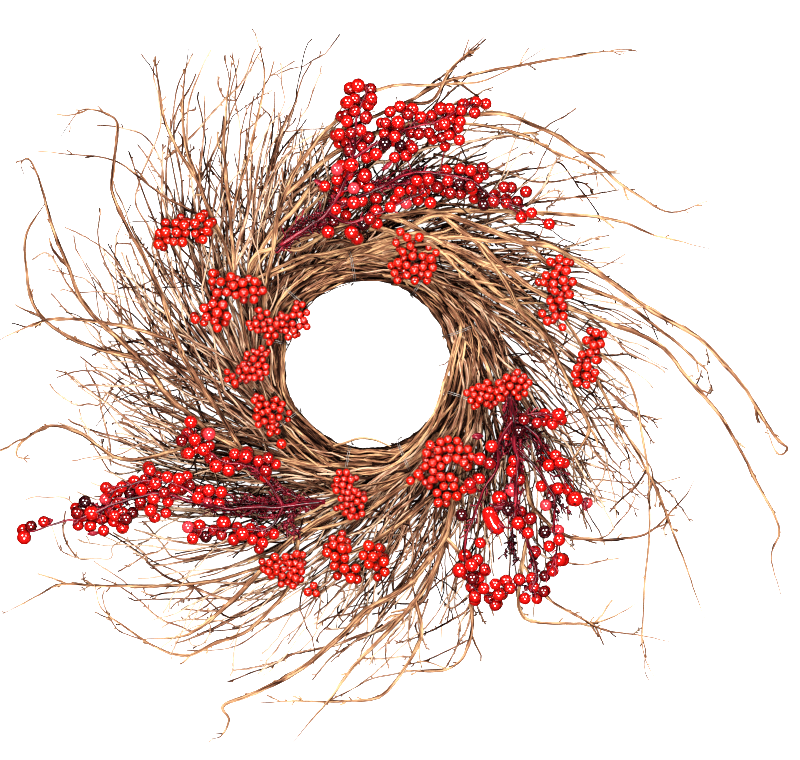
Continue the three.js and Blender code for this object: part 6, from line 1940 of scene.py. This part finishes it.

# %% [markdown]
# ## Small clusters
#
# The small berries sit close together in low, rounded bunches. The top layer is read from the picture. A
# second layer of berries, lower and shifted, fills the gaps between them with red, as the hidden side of a
# real bunch does, and its darker tone is painted shade. The smallest bunches have hardly any of it.

# %% Places of the clusters
# For each: its height, the radius of a berry, the course of its stalk and the places of its berries
CLUSTERS = {
    "cluster_01": (56, 4.6, [-187,113, 21,5, 20,4], [-172,127, -186,118, -187,108, -180,118, -173,118,
        -164,123, -164,119, -180,112, -173,111, -167,111, -155,127, -151,131, -143,125, -154,117, -148,113,
        -144,120]),
    "cluster_02": (46, 4.2, [-139,74, 19,-6, 22,-1], [-139,81, -139,75, -132,74, -135,64, -126,65, -122,77,
        -121,72, -112,73, -118,62, -111,64, -101,74, -102,66, -102,59, -94,66]),
    "cluster_03": (46, 4.4, [-152,41, 14,5, 4,-10], [-138,54, -131,53, -146,49, -145,43, -147,38, -154,40,
        -135,46, -137,39, -126,43, -135,33]),
    "cluster_04": (43, 3.4, [-104,35, 20,-1, 24,10], [-97,48, -90,46, -96,43, -106,36, -104,33, -100,36,
        -99,31, -92,36, -88,38, -92,32, -82,36, -76,43, -76,37, -86,31, -83,26, -89,25, -88,20, -73,42,
        -67,44, -67,36, -73,30, -66,30, -65,26, -71,24, -63,50, -59,53, -60,45, -55,46, -57,39, -60,34,
        -55,34]),
    "cluster_05": (43, 3.3, [-124,-11, 18,7, 11,13], [-95,14, -99,10, -91,9, -108,9, -102,5, -94,4, -111,-1,
        -98,-1, -109,-4, -91,-3, -103,-5, -115,-7, -97,-8, -91,-7, -106,-12, -101,-12, -112,-11, -126,-7,
        -121,-11, -126,-14, -119,-17]),
    "cluster_06": (43, 3.4, [-97,-36, 11,-10, 2,-14], [-96,-31, -100,-33, -97,-37, -91,-37, -98,-41,
        -94,-43, -90,-42, -82,-32, -84,-38, -76,-36, -78,-41, -70,-44, -86,-47, -99,-48, -97,-54, -93,-52,
        -81,-49, -84,-51, -85,-56, -86,-62, -82,-61]),
    "single": (43, 4.6, [-77,-72, -3,-4], [-77,-72]),
    "cluster_07": (44, 4.1, [32,114, 8,-16, 4,-18], [30,119, 36,114, 47,114, 26,109, 39,106, 32,101, 41,97,
        50,97, 62,100, 57,94, 24,89, 28,90, 34,89, 52,90, 43,85, 51,86, 58,87, 25,81, 27,76, 36,80, 43,75,
        54,83, 54,75]),
    "cluster_08": (55, 4.1, [171,92, -1,-20, -2,-20, 3,-14], [165,92, 174,94, 179,92, 173,87, 179,84,
        161,79, 159,74, 169,81, 177,75, 185,74, 168,72, 179,68, 169,66, 182,63, 165,56, 174,57, 167,51,
        176,53, 158,45, 176,43, 170,43, 162,39, 176,33]),
    "cluster_09": (55, 4.2, [208,25, -8,-15, -5,-22], [207,28, 212,27, 199,20, 202,17, 210,18, 196,9, 201,9,
        204,6, 189,-4, 198,-2, 188,-10, 205,-8, 198,-11, 203,-13, 190,-16, 196,-18]),
    "cluster_10": (48, 3.6, [96,-30, 22,5, 24,8], [90,-26, 94,-32, 97,-38, 99,-36, 96,-23, 100,-21, 96,-28,
        103,-28, 101,-32, 108,-35, 108,-29, 105,-21, 108,-17, 110,-24, 111,-29, 116,-26, 119,-30, 119,-18,
        121,-22, 125,-25, 126,-12, 129,-20, 133,-25, 135,-8, 136,-30, 138,-15, 141,-12, 141,-20, 142,-26,
        145,-17, 138,-21, 133,-14]),
    "cluster_11": (46, 4.2, [45,-99, 17,11, 14,4, -10,-32], [57,-74, 54,-79, 63,-77, 72,-68, 75,-76, 67,-70,
        81,-69, 84,-77, 90,-77, 94,-83, 81,-85, 72,-86, 64,-85, 59,-89, 53,-92, 66,-92, 60,-96, 46,-99,
        39,-105, 58,-104, 66,-101, 75,-102, 87,-89, 90,-92, 69,-110, 78,-110, 63,-116, 72,-119, 81,-119,
        64,-125, 87,-113]),
    "cluster_12": (46, 3.5, [-22,-101, 6,-19, 6,-14], [-25,-98, -19,-98, -27,-104, -20,-103, -15,-104,
        -27,-109, -22,-110, -16,-111, -27,-113, -22,-114, -17,-116, -11,-115, -23,-121, -19,-121, -14,-120,
        -9,-118, -4,-121, -18,-126, -14,-127, -9,-124, -6,-128, -22,-129, -19,-133, -13,-131, -15,-137,
        -9,-137, -5,-134]),
    "cluster_13": (52, 3.6, [-84,-182, 20,-2], [-83,-175, -87,-179, -80,-178, -82,-183, -92,-185, -88,-186,
        -83,-186, -86,-190, -73,-174, -70,-179, -74,-185, -69,-184, -76,-190, -77,-198, -67,-199, -63,-171,
        -59,-173, -64,-180, -61,-177, -61,-182, -65,-186, -60,-186, -65,-191, -69,-191, -70,-194]),
    "cluster_14": (50, 4.8, [-30,-166, 8,-14, 10,-10], [-23,-159, -31,-164, -34,-169, -22,-168, -29,-173,
        -21,-175, -19,-166, -29,-181, -20,-183, -18,-187, -10,-184, -15,-192]),
    "cluster_15": (53, 4.9, [0,-170, 14,-14], [1,-165, -2,-172, 8,-171, 2,-178, 5,-174, 15,-178, 16,-187]),
    "cluster_16": (50, 3.8, [-50,-203, 6,5], [-48,-200, -53,-205, -46,-206]),
}
print("berries read in the clusters:", sum(len(places) for _, _, _, places in CLUSTERS.values()) // 2)

# %% Build the clusters
CLUSTER_LIFT = 5
CLUSTER_SWELL = 1.02
# Below this height of the normal, a cluster's berries get painted shade
CLUSTER_PAINTED_SHADE_FROM = 0.72
# The tone of a berry: its middle, random spread, least and most
CLUSTER_TONE = (0.5, 0.06, 0.3, 0.7)
CLUSTER_SIZES = (0.92, 1.12)
CLUSTER_LAYERS = (-1.5, 3)
# The berries, and those of the under layer, stay within these depths and this height
CLUSTER_DEPTH, UNDER_DEPTH, CLUSTER_TOP = 10, 14, 15
CLUSTER_EYE_SPREAD = 0.8
STALK_DROP = 3.0
STALK_RADIUS, LEG_RADIUS, BERRY_STALK = 1.1, 0.9, 0.4
STALK_TONE = 0.4
# The under layer: its random shift and its drop by the size of a berry, how far it is drawn to the middle,
# its size by that of the berries above, its tone, which is darker as painted shade, its share in large and
# in small bunches, and the most berries of a small one
UNDER = {"shift": 0.85, "drop": 1.3, "inward": 0.12, "size": 0.94, "tone": 0.30, "share": 0.95,
         "small_share": 0.2, "small": 6}
# A leg goes down into the twigs from the middle of the stalk
LEG = [[0, 0, 0], [3, -2, -9], [1, 3, -20]]


def cluster(z, size, stalk, places, rng):
    """Berries in two layers round a stalk. The upper layer is higher in the middle by CLUSTER_LIFT
    * (1 - d^2), where d is how far out it is, from 0 to 1."""
    plan = plan_points(places)
    count = len(plan)
    middle = plan.mean(axis=0)
    out = np.linalg.norm(plan - middle, axis=1)
    radius = CLUSTER_SWELL * size * rng.uniform(*CLUSTER_SIZES, count)
    lift = CLUSTER_LIFT * (1 - (out / (out.max() + size)) ** 2)
    upper = in_sight(np.column_stack([plan, z + lift + rng.uniform(*CLUSTER_LAYERS, count)]))
    under = upper + size * np.column_stack([rng.normal(size=(count, 2)) * UNDER["shift"],
                                            np.full(count, -UNDER["drop"])])
    under[:, :2] += UNDER["inward"] * (middle - under[:, :2])
    share = UNDER["share"] if count > UNDER["small"] else UNDER["small_share"] * (count > 1)
    keep = rng.random(count) < share
    upper = settle(upper, radius, z - CLUSTER_DEPTH, z + CLUSTER_TOP)
    centre = np.concatenate([upper, under[keep]])
    radius = np.concatenate([radius, UNDER["size"] * radius[keep]])
    centre = settle(centre, radius, z - UNDER_DEPTH, z + CLUSTER_TOP, fixed=count)
    stalk = course_places(stalk)
    line = curve_through(np.column_stack([stalk, np.full(len(stalk), z - STALK_DROP)])[None], 8)
    root = nearest_on([line], centre)
    axis = unit(centre - root) + CLUSTER_EYE_SPREAD * rng.normal(size=centre.shape)
    typical, spread, least, most = CLUSTER_TONE
    tone = np.clip(typical + spread * rng.normal(size=len(centre)), least, most)
    # Painted shade: the berries of the under layer get a darker tone
    tone[count:] = UNDER["tone"]
    leg = curve_through(line[:, [line.shape[1] // 2]] + LEG, 5)
    return [tubes(line, STALK_RADIUS, [STALK_TONE], rng, sides=6),
            tubes(leg, LEG_RADIUS, [STALK_TONE], rng),
            stalks(centre, radius, root, np.full(len(centre), STALK_TONE), rng, BERRY_STALK),
            berries(centre, radius, axis, tone, rng, CLUSTER_PAINTED_SHADE_FROM)]


for number, (name, bunch) in enumerate(CLUSTERS.items()):
    shells = cluster(*bunch, np.random.default_rng(600 + number))
    build_piece(name.replace("single", "lone_berry"), shells, [CLUSTER_STEM, CLUSTER_BERRY],
                [f"berry_{name}"])

# %% [markdown]
# ## A strip of peeled bark
#
# One strip of bark has come loose from the inner vines and arches into the hole at the bottom. It
# is a thin ribbon, so it is a flat tube with its own course.

# %% Peeled bark
BARK_STRIP = [(-30, -74, 30), (-20, -71, 33), (-8, -67, 35), (4, -67.5, 34), (14, -71, 31), (24, -76, 28)]

rng = np.random.default_rng(77)
strip = curve_through(np.array(BARK_STRIP, float)[None], 8)
width = taper([2.2], strip.shape[1], tip=0.5, power=4.0)
ribbon = tubes(strip, width, [0.75], rng, sides=8, rough=0.05, flat=0.25)
build_piece("peeled_bark", [ribbon], [VINE_BARK], [])

# %% [markdown]
# ## Pieces and triangles
#
# The number of pieces and of their triangles is printed.

# %% Pieces and triangles
print("pieces:", len(made), "triangles:", sum(made.values()))
